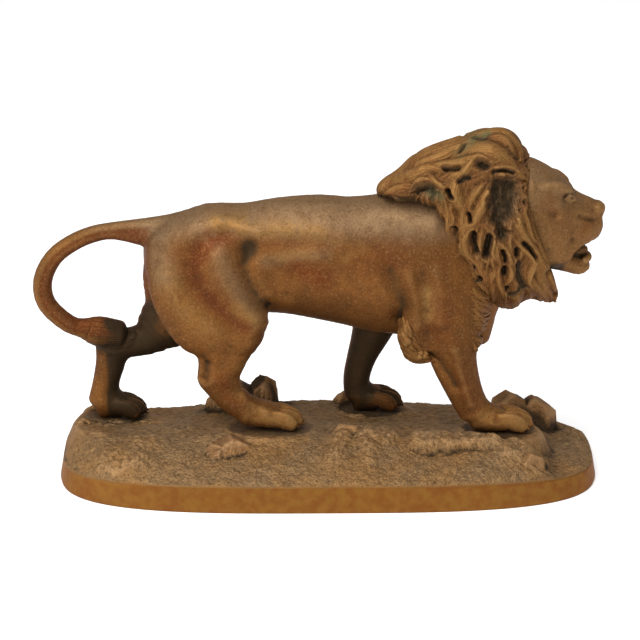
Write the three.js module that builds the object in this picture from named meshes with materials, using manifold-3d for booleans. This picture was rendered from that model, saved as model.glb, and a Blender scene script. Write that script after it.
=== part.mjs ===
// A walking lion on a rocky base, cast in bronze, about 203 mm long and 126 mm tall.
// Millimetres, +Z up. The lion walks along +X, its right side is towards -Y, and the origin
// is the centre of the base's flat underside.
import * as THREE from "three";
import { mergeVertices } from "three/addons/utils/BufferGeometryUtils.js";
import Module from "manifold-3d";

const wasm = await Module();
wasm.setup();

// The base: a rounded slab whose outline is |x/a|^n + |y/b|^n = 1, with n its squareness
const BASE_LENGTH = 192;
const BASE_WIDTH = 92;
const BASE_SQUARENESS = 3.3;
const CORNER_SQUARENESS = 2.6; // of the rounder corner, front left
const RIM_HEIGHT = 8.8; // the smooth band round the foot, in the middle
const RIM_TILT = 0.02; // its rise towards the right side
const RIM_DROP = 2.2; // how much lower the band is at the ends
const RIM_LEAN = 1.2; // how far the band leans in
const END_SLOPE = 5; // length of the steep rise from the band to the ground, at the ends
const SIDE_SLOPE = 25; // and at the long sides
const GROUND_HEIGHT = 18; // under the middle of the lion
const GROUND_TILT = 0.055; // its fall towards the left side
const SHELF_HEIGHT = 9.4; // of the low shelf at the right end
const SHELF_STEP = [70, 83]; // where the ground drops to it
const CASTING_GAP = 0.3; // between the paws' soles and the ground
const PAD_DEPTH = 6; // of the levelled ground under each paw
const PAD_HALF_WIDTH = 9;

// Low rises and hollows of the ground: middle x and y, height and reach
const KNOLLS = [
  [-20, -12, 1.4, 22],
  [-4, 20, 1.2, 24],
  [-74, 18, -3, 24],
];

// Where each paw stands, under the middle of its toes, and the height of its flat sole
const PAWS = {
  rightFore: { x: 64, y: -12.3, sole: 18.6, length: 18 },
  leftFore: { x: 18.5, y: 12, sole: 17.8, length: 16 },
  rightHind: { x: -17.5, y: -12.4, sole: 19.8, length: 20 },
  leftHind: { x: -74, y: 12, sole: 15.3, length: 16 },
};

const TOE = { halfLength: 4.2, halfWidth: 1.9, halfHeight: 3.4, ahead: 4.4, lift: 2.2 };
const TOES_ACROSS = [-4.3, -1.5, 1.5, 4.3]; // their places across the paw
const TOES_BEND = 0.1; // how far the outer toes stay behind, per square millimetre

// Every smooth form of the lion is a row of stations, each [x, y, z, half height, half width]:
// the height is square to the line through the stations, the width is sideways.
const BODY = {
  torso: [
    [-58, 0, 81.5, 10.5, 9.5],
    [-52, 0, 80, 15.6, 13.5],
    [-42, 0, 78.6, 20.3, 15.5],
    [-28, 0, 78.8, 20.2, 14.5],
    [-16, 0, 79.7, 21, 15],
    [-4, 0, 79, 22.6, 16.5],
    [8, 0, 77, 23.6, 17.5],
    [20, 0, 75.5, 25, 18],
    [32, 0, 76, 26, 17.5],
    [44, 0, 74, 25, 15],
    [51, 0, 67, 17, 10],
  ],
  chest: [
    [49, 0, 74, 12, 11],
    [52, 0, 60, 7, 9],
    [51, 0, 50, 5.8, 7],
  ],
  skull: [
    [65, 0, 104.3, 12.4, 11],
    [73, 0, 100.2, 13, 11.6],
    [81.8, 0, 94.2, 10.6, 9.4],
    [89, 0, 91.8, 8.8, 7.4],
    [93, 0, 92, 6.7, 6.2],
  ],
  nose: [
    [84, 0, 99.5, 3.6, 4],
    [91, 0, 97.2, 3.4, 3.4],
    [95.5, 0, 96.2, 2.6, 3.3],
  ],
  maneRoll: [
    [40, 0, 110, 7.6, 13],
    [33.5, 0, 108.4, 8, 12],
    [25, 0, 102.8, 6.8, 10],
    [19.6, 0, 100.4, 3.9, 8],
  ],
  lowerJaw: [
    [74, 0, 80.5, 6.5, 8],
    [82, 0, 78, 4.2, 6.2],
    [89.8, 0, 77.4, 4.8, 4.6],
  ],
};
const LIMBS = {
  rightShoulder: [
    [35, -8, 88, 12, 8],
    [41, -11.5, 71, 14, 8.8],
    [43.3, -13.5, 55, 10.2, 7.6],
    [44, -13.5, 46, 8.3, 6.3],
    [47.9, -13, 34, 6.4, 5.4],
    [51.6, -12.8, 26, 5.7, 5.1],
  ],
  rightForePaw: [
    [53.5, -12.6, 24, 5.6, 5.2],
    [59, -12.4, 22.6, 4.6, 6],
    [66, -12.3, 21.8, 4, 6.2],
  ],
  rightElbow: [
    [31, -14.5, 68, 4, 3],
    [28.6, -16.5, 58, 5, 4],
    [31.5, -15.5, 49.5, 5.6, 4],
  ],
  leftShoulder: [
    [28, 8, 84, 12, 8],
    [22, 11.5, 66, 11.5, 8],
    [16, 12.5, 47, 7.2, 6.2],
    [12.6, 12.2, 38, 5.4, 5.2],
    [10.6, 12, 30, 4.8, 4.8],
    [10.8, 12, 24, 4.8, 5],
  ],
  leftForePaw: [
    [11.5, 12, 22, 5.2, 5.3],
    [17, 12, 21.8, 4.6, 6],
    [22, 12, 21, 3.9, 6],
  ],
  rightThigh: [
    [-44, -6.5, 84, 18.5, 8],
    [-43, -9.5, 73, 20, 8.8],
    [-39.5, -11.8, 63.5, 18.8, 8.6],
    [-36.6, -12.4, 56.5, 16.2, 8],
    [-37.2, -12.8, 48.5, 10.6, 6.6],
    [-38.6, -13, 40, 7, 5.3],
  ],
  rightHock: [
    [-40.2, -13, 38.5, 5.8, 4.9],
    [-35.5, -13, 31.8, 5, 4.8],
    [-29, -12.8, 26.5, 4.8, 4.8],
  ],
  rightHeel: [
    [-43.6, -13, 48, 2.4, 2.2],
    [-43.8, -13, 38.8, 3, 2.6],
  ],
  rightHindPaw: [
    [-28.5, -12.7, 25.4, 4.8, 5],
    [-21, -12.5, 24.4, 4.5, 6],
    [-15, -12.4, 23.4, 4, 6.1],
  ],
  leftThigh: [
    [-48.5, 6.5, 81, 16, 8],
    [-49, 10.5, 67.5, 17, 8.5],
    [-52.5, 11.5, 56.5, 13.6, 7.2],
    [-59, 12, 50, 10, 6.4],
    [-65, 12, 45.5, 6.8, 5.2],
    [-76, 12, 42.6, 5.6, 4.8],
  ],
  leftHock: [
    [-78.6, 12, 43.5, 5, 4.7],
    [-78, 12, 37, 5.4, 4.4],
    [-79.8, 12, 29, 4.8, 4.4],
    [-80.8, 12, 21.5, 5.6, 4.8],
  ],
  leftHindPaw: [
    [-80.6, 12, 20.4, 5.6, 5.1],
    [-75, 12, 19.6, 4.6, 5.8],
    [-70.6, 12, 18.8, 4, 5.8],
  ],
};
const TAIL = [
  [-50, 0, 88, 8.5, 7],
  [-62, 0.3, 88.2, 5.6, 4.4],
  [-75, 1.3, 88.6, 3.2, 2.9],
  [-83, 2.2, 87, 3, 2.9],
  [-90.5, 3, 83.4, 3.1, 2.9],
  [-97.4, 4, 77.8, 3.2, 3],
  [-101.4, 5, 69, 3.5, 3],
  [-100.1, 6, 59.8, 3.4, 3],
  [-92.5, 7.3, 52.4, 3.3, 3],
  [-84, 8.5, 50.4, 4.4, 3.6],
  [-77, 9, 49.8, 5.4, 4.6],
  [-73, 9.5, 50.5, 3, 3],
];

// The mane is a collar through five rings, from u = 0 round the face to u = 4 on the
// withers. Each ring goes from the crown (v = 0) down the right side to the throat (v = 4),
// as [x, half width, z], and the left side (v below 0) mirrors it.
const MANE_RINGS = [
  [[71, 0, 111.5], [69.5, 9.5, 108.5], [71, 11.5, 94], [76, 9.5, 80], [78.5, 0, 72.5]],
  [[66.8, 0, 120], [65.8, 12.8, 113.6], [69.5, 17.2, 94.5], [77.2, 11.5, 74], [81, 0, 62.6]],
  [[58.5, 0, 126.3], [56, 15, 118.6], [60, 20.6, 94.5], [69.5, 15.6, 71], [71, 0, 65]],
  [[37, 0, 114.2], [40, 15.8, 110.8], [49.5, 20, 92.5], [60, 15.6, 69], [63.5, 0, 61]],
  [[18, 0, 100.3], [32.5, 14, 106], [44.5, 17.6, 91], [53, 15.6, 71], [57, 0, 58.5]],
];

// The mane's main locks on that collar: [u, v] of root, middle and tip, half width, height
const LOCKS = [
  [[0.4, 0.1], [1.5, 0.25], [2.7, 0.15], 3.6, 2.2],
  [[0.9, 0.6], [1.7, 0.6], [2.7, 0.45], 3.2, 2.2],
  [[2.5, 0.15], [3.05, 0.2], [3.5, 0.15], 4.4, 2.8],
  [[2.9, 0.75], [3.55, 0.6], [3.95, 0.2], 4.2, 3.2],
  [[3.5, 0.75], [3.5, 1.05], [3.1, 1.25], 2.6, 2.5],
  [[2.95, 1.1], [2.6, 1], [2.15, 0.85], 2.6, 2.5],
  [[2.1, 1.3], [1.6, 1.15], [0.9, 1.3], 3.2, 3],
  [[3, 1.1], [2.85, 1.4], [2.95, 1.85], 4, 3],
  [[2.1, 1.35], [2.5, 1.55], [2.6, 1.95], 3, 3],
  [[2.7, 1.85], [3.15, 2.05], [3.2, 2.7], 3, 2.8],
  [[3.55, 1.15], [3.6, 1.55], [3.8, 2], 2.8, 2.4],
  [[3.75, 1.95], [3.85, 2.35], [3.4, 2.9], 3, 2.2],
  [[2.3, 1.75], [2.6, 2.15], [2.6, 2.75], 2.9, 2.8],
  [[1.9, 1.95], [2.15, 2.3], [2, 2.85], 2.8, 2.5],
  [[1.4, 1.5], [1.6, 2], [1.3, 2.6], 3, 3],
  [[0.8, 1.45], [1, 2.05], [0.8, 2.75], 2.9, 2.8],
  [[1.7, 2.5], [1.5, 3], [1.1, 3.8], 3.2, 2.5],
  [[2.8, 2.6], [2.7, 3.1], [2.6, 3.8], 3, 2.2],
  [[2.2, 2.7], [2.1, 3.2], [2, 3.9], 2.8, 2.1],
  [[0.9, 2.6], [0.8, 3.1], [1, 3.9], 3, 2],
];

// Tufts of hair below the mane and behind the right elbow, given as stations
const TUFTS = [
  [[52, -8, 62, 2.6, 2.6], [55.5, -6, 56, 2.4, 2.4], [55.5, -5, 50, 1.2, 1.2]],
  [[50, -9, 55, 2.6, 2.6], [54, -7, 50, 2.4, 2.4], [52.5, -6.5, 44.5, 1, 1]],
  [[29, -16.5, 63, 2.6, 2.4], [26.2, -18, 57, 2.6, 2.4], [26, -16.5, 50.4, 1.4, 1.4]],
  [[31, -18, 59, 2.8, 2.2], [28.6, -18.5, 53, 2.8, 2.2], [28.9, -17.5, 46.8, 1.4, 1.4]],
  [[34, -18, 56, 2.6, 2.2], [32.6, -18.5, 51, 2.8, 2], [33.6, -18, 46, 1.4, 1.4]],
];

// Rocks: centre, half sizes and a turn about Z in degrees
const ROCKS = [
  { at: [72, 15, 11.5], size: [9, 7, 10.5], turn: 10 },
  { at: [64, 13, 15.5], size: [7, 7, 8], turn: 50 },
  { at: [-23, 16, 22.5], size: [5.6, 5.2, 7.4], turn: 20 },
  { at: [-33.5, 16, 15.8], size: [10, 7, 11.6], turn: 0 },
  { at: [6, 19, 17], size: [4, 4, 4.4], turn: 0 },
  { at: [-83, 19, 9], size: [8, 8, 8.4], turn: 12 },
  { at: [-73, -31, 10], size: [11, 7, 6.6], turn: 15 },
  { at: [-36, -20, 17], size: [8, 9, 4.6], turn: 35 },
  { at: [7, -15, 15], size: [9, 9, 7.6], turn: 70 },
  { at: [15, -24, 12], size: [9, 9, 7.6], turn: 25 },
  { at: [3, -30, 10.5], size: [8, 9, 6.2], turn: 45 },
  { at: [38, -23, 14.5], size: [11, 8, 5.4], turn: 8 },
  { at: [52, -23, 14.5], size: [11, 8, 5.2], turn: -12 },
  { at: [70, -29, 11], size: [6.5, 7, 6.4], turn: 30 },
];

// Lumps of the face: centre, half sizes and pitch; those off the middle stand on both sides
const FACE = [
  [[95.4, 0, 97], [2.5, 4, 2.2], 0], // nose
  [[79, 6.8, 106.4], [5, 3, 3], 0.6], // brows
  [[82.6, 7.6, 102.4], [2.2, 1.6, 1.5], 0.2], // eyes
  [[76.5, 8.6, 92], [6, 4, 9.5], 0], // cheeks
  [[88.8, 4.2, 88.6], [5.6, 4, 5.2], 0.3], // muzzle
  [[68.5, 12.6, 108.4], [2.4, 3, 4.2], 0], // ears
];

const SIDEWAYS = new THREE.Vector3(0, 1, 0);
const TURN = 2 * Math.PI;

// A closed surface over rings of equal counts of points, from a first pole to a last one
function skin(first, rings, last) {
  const sides = rings[0].length;
  const positions = [first, ...rings.flat(), last].flatMap((p) => p.toArray());
  const lastPole = positions.length / 3 - 1;
  const at = (ring, side) => 1 + ring * sides + (side % sides);
  const faces = [];
  for (let i = 0; i < sides; i++) {
    faces.push(0, at(0, i + 1), at(0, i));
    for (let j = 0; j + 1 < rings.length; j++) {
      faces.push(at(j, i), at(j, i + 1), at(j + 1, i + 1));
      faces.push(at(j, i), at(j + 1, i + 1), at(j + 1, i));
    }
    faces.push(lastPole, at(rings.length - 1, i), at(rings.length - 1, i + 1));
  }
  const geometry = new THREE.BufferGeometry();
  geometry.setAttribute("position", new THREE.Float32BufferAttribute(positions, 3));
  geometry.setIndex(faces);
  return geometry;
}

// The middle of a ring of points
function middleOf(ring) {
  return ring.reduce((sum, p) => sum.add(p), new THREE.Vector3()).divideScalar(ring.length);
}

// An elliptical ring about a centre, between two half-axis vectors
function ellipse(centre, high, wide, sides) {
  return Array.from({ length: sides }, (_, i) =>
    centre
      .clone()
      .addScaledVector(high, Math.cos((TURN * i) / sides))
      .addScaledVector(wide, Math.sin((TURN * i) / sides)),
  );
}

// A smooth form through stations, with domed ends
function limb(stations, { sides = 8, steps = 1, dome = 0.6 } = {}) {
  const line = new THREE.CatmullRomCurve3(
    stations.map(([x, y, z]) => new THREE.Vector3(x, y, z)),
  );
  const sizes = new THREE.CatmullRomCurve3(
    stations.map(([, , , high, wide]) => new THREE.Vector3(high, wide, 0)),
  );
  const ring = (t, ahead, share) => {
    const tangent = line.getTangent(t);
    const { x: halfHigh, y: halfWide } = sizes.getPoint(t);
    const wide = SIDEWAYS.clone().projectOnPlane(tangent).normalize();
    const high = wide.clone().cross(tangent).multiplyScalar(share * halfHigh);
    const centre = line.getPoint(t).addScaledVector(tangent, ahead * dome * halfHigh);
    return ellipse(centre, high, wide.multiplyScalar(share * halfWide), sides);
  };
  const spans = (stations.length - 1) * steps;
  const rings = [
    ring(0, -0.7, 0.72),
    ...Array.from({ length: spans + 1 }, (_, i) => ring(i / spans, 0, 1)),
    ring(1, 0.7, 0.72),
  ];
  return skin(middleOf(ring(0, -1, 0.1)), rings, middleOf(ring(1, 1, 0.1)));
}

// A rounded lump of the face, or the two that mirror each other
function lumps([[x, y, z], [long, wide, high], pitch]) {
  return [...new Set([-y, y])].map((side) =>
    new THREE.SphereGeometry(1, 6, 4).scale(long, wide, high).rotateY(pitch).translate(x, side, z),
  );
}

// A geometry as a solid that can be joined and cut, and a solid as a geometry
function solidOf(geometry) {
  const bare = geometry.clone();
  bare.deleteAttribute("normal");
  bare.deleteAttribute("uv");
  const merged = mergeVertices(bare);
  return new wasm.Manifold(
    new wasm.Mesh({
      numProp: 3,
      vertProperties: merged.attributes.position.array,
      triVerts: new Uint32Array(merged.index.array),
    }),
  );
}

function joined(geometries) {
  return wasm.Manifold.union(geometries.map(solidOf));
}

function geometryOf(solid) {
  const { vertProperties, triVerts } = solid.getMesh();
  const geometry = new THREE.BufferGeometry();
  geometry.setAttribute("position", new THREE.BufferAttribute(vertProperties, 3));
  geometry.setIndex(new THREE.BufferAttribute(triVerts, 1));
  geometry.computeVertexNormals();
  return geometry;
}

// The point (u, v) of the mane's collar, and the outward normal there
const maneLines = MANE_RINGS[0].map((_, v) => {
  const points = MANE_RINGS.map((ring) => new THREE.Vector3(ring[v][0], -ring[v][1], ring[v][2]));
  return new THREE.CatmullRomCurve3(points, false, "catmullrom");
});

function maneRing(u) {
  const right = maneLines.map((line) => line.getPoint(u / (MANE_RINGS.length - 1)));
  const left = [3, 2, 1].map((v) => right[v].clone().multiply(new THREE.Vector3(1, -1, 1)));
  return new THREE.CatmullRomCurve3([...right, ...left], true, "catmullrom");
}

function manePoint(u, v) {
  return maneRing(THREE.MathUtils.clamp(u, 0, 4)).getPoint((((v % 8) + 8) % 8) / 8);
}

function maneNormal(u, v) {
  const step = 0.05;
  const along = manePoint(u + step, v).sub(manePoint(u - step, v));
  const round = manePoint(u, v + step).sub(manePoint(u, v - step));
  return round.cross(along).normalize();
}

function maneCollar(sides = 20, rows = 8) {
  const rings = Array.from({ length: rows + 1 }, (_, j) =>
    Array.from({ length: sides }, (_, i) => manePoint((4 * j) / rows, (-8 * i) / sides)),
  );
  return skin(middleOf(rings[0]), rings, middleOf(rings[rows]));
}

// A lock of hair that stands off the collar between its root and its tapered tip
function lock([root, middle, tip, halfWidth, height], side, sides = 4, rows = 3) {
  const path = new THREE.SplineCurve([root, middle, tip].map(([u, v]) => new THREE.Vector2(u, v)));
  const taper = (t) => Math.sin(Math.PI * (0.16 + 0.7 * t));
  const at = (t, rise = 0) => {
    const { x: u, y: v } = path.getPoint(t);
    return manePoint(u, side * v).addScaledVector(maneNormal(u, side * v), rise);
  };
  const ring = (t) => {
    const { x: u, y: v } = path.getPoint(t);
    const ahead = at(Math.min(t + 0.05, 1)).sub(at(Math.max(t - 0.05, 0))).normalize();
    const out = maneNormal(u, side * v).projectOnPlane(ahead).normalize();
    const wide = ahead.clone().cross(out).multiplyScalar(halfWidth * taper(t));
    return ellipse(at(t, 0.25 * height * taper(t)), out.multiplyScalar(height * taper(t)), wide, sides);
  };
  const rings = Array.from({ length: rows }, (_, i) => ring((i + 0.5) / rows));
  return skin(at(0, -1), rings, at(1, -1));
}

// Four toes side by side at the front of a paw
function toes({ x, y, sole }) {
  return TOES_ACROSS.map((across) =>
    new THREE.SphereGeometry(1, 5, 3)
      .scale(TOE.halfLength, TOE.halfWidth, TOE.halfHeight)
      .translate(x + TOE.ahead - TOES_BEND * across ** 2, y + across, sole + TOE.lift),
  );
}

// Everything of the lion, as one solid with flat soles
function lion() {
  const forms = [
    ...Object.values(BODY).map((stations) => limb(stations, { sides: 12 })),
    ...Object.values(LIMBS).map((stations) => limb(stations)),
    ...TUFTS.map((stations) => limb(stations, { sides: 5 })),
    limb(TAIL, { sides: 7, steps: 2 }),
    maneCollar(),
    ...[1, -1].flatMap((side) => LOCKS.map((row) => lock(row, side))),
    ...FACE.flatMap(lumps),
    ...Object.values(PAWS).flatMap(toes),
  ];
  const underPaws = Object.values(PAWS).map(({ x, y, sole, length }) =>
    new THREE.BoxGeometry(2 * length, 20, PAD_DEPTH).translate(x - 4, y, sole - PAD_DEPTH / 2),
  );
  return joined(forms).subtract(joined(underPaws));
}

// The base's outline at an angle, drawn in by the given amounts at the ends and the sides
function baseOutline(angle, inEnds, inSides) {
  const power = 2 / (angle > 0 && angle < Math.PI / 2 ? CORNER_SQUARENESS : BASE_SQUARENESS);
  const round = (value) => Math.sign(value) * Math.abs(value) ** power;
  return new THREE.Vector2(
    (BASE_LENGTH / 2 - inEnds) * round(Math.cos(angle)),
    (BASE_WIDTH / 2 - inSides) * round(Math.sin(angle)),
  );
}

// The ground: falling gently to the left side, and a low shelf at the right end
function groundHeight({ x, y }) {
  const knolls = KNOLLS.map(
    ([kx, ky, high, reach]) => high * Math.exp(-((x - kx) ** 2 + (y - ky) ** 2) / reach ** 2),
  );
  const ground = knolls.reduce((sum, knoll) => sum + knoll, GROUND_HEIGHT - GROUND_TILT * (y + 12));
  const shelf = THREE.MathUtils.smoothstep(x, ...SHELF_STEP);
  return THREE.MathUtils.lerp(ground, SHELF_HEIGHT, shelf);
}

// The upright elliptical block over or under a paw, from its middle height
function pawBlock({ x, y, length }, flare, deep, middle) {
  return new THREE.CylinderGeometry(1, flare, deep, 10)
    .rotateX(Math.PI / 2)
    .scale(0.72 * length, PAD_HALF_WIDTH, 1)
    .translate(x - 3, y, middle);
}

function rockyBase() {
  const sides = 42;
  const rim = ({ x, y }) =>
    RIM_HEIGHT - RIM_TILT * y - RIM_DROP * Math.abs((2 * x) / BASE_LENGTH) ** 4;
  const ring = (inEnds, inSides, height) =>
    Array.from({ length: sides }, (_, i) => {
      const flat = baseOutline((TURN * i) / sides, inEnds, inSides);
      return new THREE.Vector3(flat.x, flat.y, height(flat));
    });
  const rise = (share) =>
    ring(RIM_LEAN + share * END_SLOPE, RIM_LEAN + share * SIDE_SLOPE, (flat) =>
      THREE.MathUtils.lerp(rim(flat), groundHeight(flat), share ** 0.75),
    );
  const plateau = (share) =>
    ring(
      BASE_LENGTH / 2 - share * (BASE_LENGTH / 2 - RIM_LEAN - END_SLOPE),
      BASE_WIDTH / 2 - share * (BASE_WIDTH / 2 - RIM_LEAN - SIDE_SLOPE),
      groundHeight,
    );
  const rings = [
    ring(0, 0, () => 0),
    ring(RIM_LEAN, RIM_LEAN, rim),
    ...[0.25, 0.6, 1].map(rise),
    ...[0.75, 0.4].map(plateau),
  ];
  const slab = skin(new THREE.Vector3(), rings, new THREE.Vector3(0, 0, groundHeight({ x: 0, y: 0 })));
  const rocks = ROCKS.map(({ at, size, turn }) =>
    new THREE.DodecahedronGeometry(1)
      .scale(...size)
      .rotateZ(THREE.MathUtils.degToRad(turn))
      .translate(...at),
  );
  const pads = Object.values(PAWS).map((paw) =>
    pawBlock(paw, 1.5, PAD_DEPTH, paw.sole - CASTING_GAP - PAD_DEPTH / 2),
  );
  const clearances = Object.values(PAWS).map((paw) =>
    pawBlock(paw, 1, 2 * PAD_DEPTH, paw.sole - CASTING_GAP + PAD_DEPTH),
  );
  return joined([slab, ...rocks, ...pads]).subtract(joined(clearances));
}

const materials = {
  lion: new THREE.MeshStandardMaterial({ color: 0x86602f, metalness: 0.75, roughness: 0.48 }),
  base: new THREE.MeshStandardMaterial({ color: 0x7d5f3d, metalness: 0.6, roughness: 0.6 }),
};

function piece(name, solid, material) {
  const mesh = new THREE.Mesh(geometryOf(solid), material);
  mesh.name = name;
  return mesh;
}

const sculpture = new THREE.Group();
sculpture.add(
  piece("lion", lion(), materials.lion),
  piece("rocky_base", rockyBase(), materials.base),
);

export default sculpture;
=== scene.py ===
import math

import bpy
import numpy as np
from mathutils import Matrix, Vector


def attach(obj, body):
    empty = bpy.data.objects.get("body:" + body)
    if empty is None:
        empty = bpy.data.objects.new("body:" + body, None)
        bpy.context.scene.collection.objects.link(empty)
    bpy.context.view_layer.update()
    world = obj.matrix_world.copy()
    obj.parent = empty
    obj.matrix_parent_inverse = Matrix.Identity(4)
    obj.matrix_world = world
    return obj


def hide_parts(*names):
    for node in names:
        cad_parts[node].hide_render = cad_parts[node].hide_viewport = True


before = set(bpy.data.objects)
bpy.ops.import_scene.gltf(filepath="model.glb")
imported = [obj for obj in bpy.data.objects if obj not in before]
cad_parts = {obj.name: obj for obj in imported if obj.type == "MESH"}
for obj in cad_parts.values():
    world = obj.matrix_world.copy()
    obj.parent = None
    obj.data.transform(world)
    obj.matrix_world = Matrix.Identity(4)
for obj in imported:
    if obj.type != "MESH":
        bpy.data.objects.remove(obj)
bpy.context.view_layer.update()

# The rocky base: one hollow bronze casting, a rounded slab of ground on a smooth foot band. Its
# maker pressed stones into the clay, hatched the ground with a comb and smoothed the band by hand.

MM = 0.001
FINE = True

# Cells along each side of the lattice of random values that grain repeats
LATTICE = 40
BASE_LENGTH = 192
BASE_WIDTH = 92
BASE_SQUARENESS = 3.3
CORNER_SQUARENESS = 2.6
RIM_HEIGHT = 7.9
RIM_TILT = 0.02
RIM_DROP = 1.4
RIM_LEAN = 1.2
HALF_LENGTH = BASE_LENGTH / 2 - RIM_LEAN
HALF_WIDTH = BASE_WIDTH / 2 - RIM_LEAN
HALVINGS = 16
CROWDING = 0.25
END_SLOPE = 5
SIDE_SLOPE = 25
GROUND_HEIGHT = 18
GROUND_TILT = 0.055
SHELF_HEIGHT = 9.4
SHELF_STEP = (69, 81)
RISE_CURVE = 0.75
CASTING_GAP = 0.3
FINE_COLUMNS = 398
GROUND_COLUMNS, GROUND_ROWS = (FINE_COLUMNS, 194) if FINE else (220, 110)

# Rises and dips of the ground: middle x and y, height and reach
KNOLLS = [
    (-20, -12, 1.4, 22),
    (-4, 20, 1.2, 24),
    (-74, 18, -3, 24),
    (-52, 32, -1.4, 18),
    (36, 32, -1.2, 18),
]
# Lumps left by the fingers: size, height on the level, how much more on the slope, and seed
LUMPS = [(9, 0.5, 0, 1), (2.6, 0.16, 0.08, 2), (1.3, 0.09, 0.05, 3)]

# Where each paw stands: middle x and y, height of its sole, and length
PAWS = {
    "right_fore": (64, -12.3, 18.6, 18),
    "left_fore": (18.5, 12, 17.8, 16),
    "right_hind": (-17.5, -12.4, 19.8, 20),
    "left_hind": (-74, 12, 15.3, 16),
}

# Faceted stones pressed into the ground: middle, half sizes, turn in degrees
STONES = [
    ((75, 15, 11), (9.4, 7, 10.6), 10),
    ((66, 14, 15.5), (8, 7.5, 8), 25),
    ((-23, 16, 22.5), (6.0, 5.4, 6.9), 50),
    ((-32, 16, 15.8), (13, 7, 11.8), 0),
    ((6, 19, 17), (4, 4, 4.4), 0),
    ((-83, 19, 9), (8, 8, 8.4), 12),
    ((-34.5, -23, 14.2), (9.4, 8.6, 6.6), 15),
    ((-39.5, -26.5, 12.5), (5.4, 6.4, 6.6), 50),
    ((7, -16, 14.4), (10, 9, 8), 70),
    ((70, -28, 9.8), (7, 7, 6.4), 30),
    ((66, -24, 14), (4.5, 4, 4), 60),
]
# Rough knobs of clay: middle x and y, reach along x and y, height, and how coarse
KNOBS = [
    (-73, -30, 11, 8, 3.0, 0.5),
    (-64, -20, 9, 5, 1.2, 0.3),
    (12, -12, 9, 7, 2.4, 0.45),
    (5, -22, 5, 8, 2.2, 0.5),
    (14, -25, 5, 10, 2.6, 0.5),
    (21, -19, 4, 9, 1.8, 0.5),
    (2, -32, 5, 5, 1.8, 0.6),
    (66, -27, 8, 7, 2.2, 0.3),
    (-56, -8, 14, 7, 0.8, 0.5),
    (90, 6, 5, 14, 1.0, 0.5),
    (83.5, 16, 3, 6, -2.6, 0.4),
]
# The ledge in front: level ground that breaks off in a ragged edge with a hollow below it
LEDGE_ENDS = (27, 62)
LEDGE_FADE = 4
LEDGE_EDGE = -27
LEDGE_HEIGHT = 1.9
LEDGE_HOLLOW = 0.7
STONE_RUGGEDNESS = 0.3
STONE_SEAM = 0.5
# A regular twelve-sided solid's inner radius, as a share of its outer one
TWELVE_SIDED = 0.7947
STONE_STEEPNESS = 6
PINCH = 0.7
# Dark spots of painted shade: middle x and y, reach along x and y, how flat its top is, and amount
SHADE_SPOTS = [(-24, 16, 9, 8, 2, 2.4), (71, 15, 13, 8, 4, 0.75)]
PIT_COUNT = 44
PIT_FIELD = ((-93, -1), (-60, 8))
PIT_RADIUS = 0.9
PIT_DEPTH = 1.1
# The foot band's rings, as shares of its height, how far its lower edge is rounded in, and how
# far its surface wavers
BAND_RINGS = np.array([0.93, 0.82, 0.7, 0.58, 0.46, 0.34, 0.22, 0.12, 0.05, 0.0])
BAND_ROUNDING = 0.5
BAND_WOBBLE = 0.12
# Rounds of blurring that show the small and the large hollows, and how much each darkens
SMALL_ROUNDS, LARGE_ROUNDS = 10, 90
SMALL_SHADE, LARGE_SHADE = 0.9, 0.28


def smooth(low, high, value):
    """A soft step from 0 at low to 1 at high: 3t^2 - 2t^3 with t the share of the way."""
    t = np.clip((value - low) / (high - low), 0, 1)
    return t * t * (3 - 2 * t)


def grain(points, size, seed):
    """Random heights from -1 to 1: values on a lattice of the given size, blended by smooth."""
    lattice = np.random.default_rng(seed).uniform(-1, 1, (LATTICE, LATTICE, LATTICE))
    place = np.asarray(points) / size
    cell = np.floor(place).astype(int)
    share = place - cell
    share = share * share * (3 - 2 * share)
    height = 0
    for corner in np.ndindex(2, 2, 2):
        i, j, k = np.moveaxis((cell + corner) % LATTICE, -1, 0)
        height = height + lattice[i, j, k] * np.prod(np.where(corner, share, 1 - share), -1)
    return height


def away_from(line, x, z):
    """Squared distance of places (x, z) from the nearest point of a line through given places."""
    line = np.array(line, float)
    nearest = (x - line[0, 0]) ** 2 + (z - line[0, 1]) ** 2
    for a, b in zip(line[:-1], line[1:]):
        run = b - a
        share = np.clip(((x - a[0]) * run[0] + (z - a[1]) * run[1]) / (run @ run), 0, 1)
        away = (x - a[0] - share * run[0]) ** 2 + (z - a[1] - share * run[1]) ** 2
        nearest = np.minimum(nearest, away)
    return nearest


def rough(points, size, seed):
    """Three layers of grain, each half the size and half the height of the one before."""
    return sum(grain(points, size / 2**n, seed + n) / 2**n for n in range(3))


def stone_top(x, y, at, size, turn):
    """Height of a twelve-sided stone: the least of its upper faces' planes over each place, and
    steeply less beyond its upright faces."""
    golden = (1 + math.sqrt(5)) / 2
    upper = [(1, 0, golden), (-1, 0, golden), (0, golden, 1), (0, -golden, 1)]
    c, s = math.cos(math.radians(turn)), math.sin(math.radians(turn))
    across = (c * (x - at[0]) + s * (y - at[1])) / size[0]
    along = (c * (y - at[1]) - s * (x - at[0])) / size[1]
    reach = TWELVE_SIDED * math.hypot(1, golden)
    planes = [(reach - a * across - b * along) / c for a, b, c in upper]
    level = [a * across + b * along - reach for a in (golden, -golden) for b in (1, -1)]
    beyond = np.maximum(0, np.maximum.reduce(level))
    return at[2] + size[2] * (np.minimum.reduce(planes) - STONE_STEEPNESS * beyond)


def rim_height(x, y):
    """Top of the foot band: tilted a little across, falling with the fourth power to the ends."""
    return RIM_HEIGHT - RIM_TILT * y - RIM_DROP * np.abs(2 * x / BASE_LENGTH) ** 4


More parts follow.
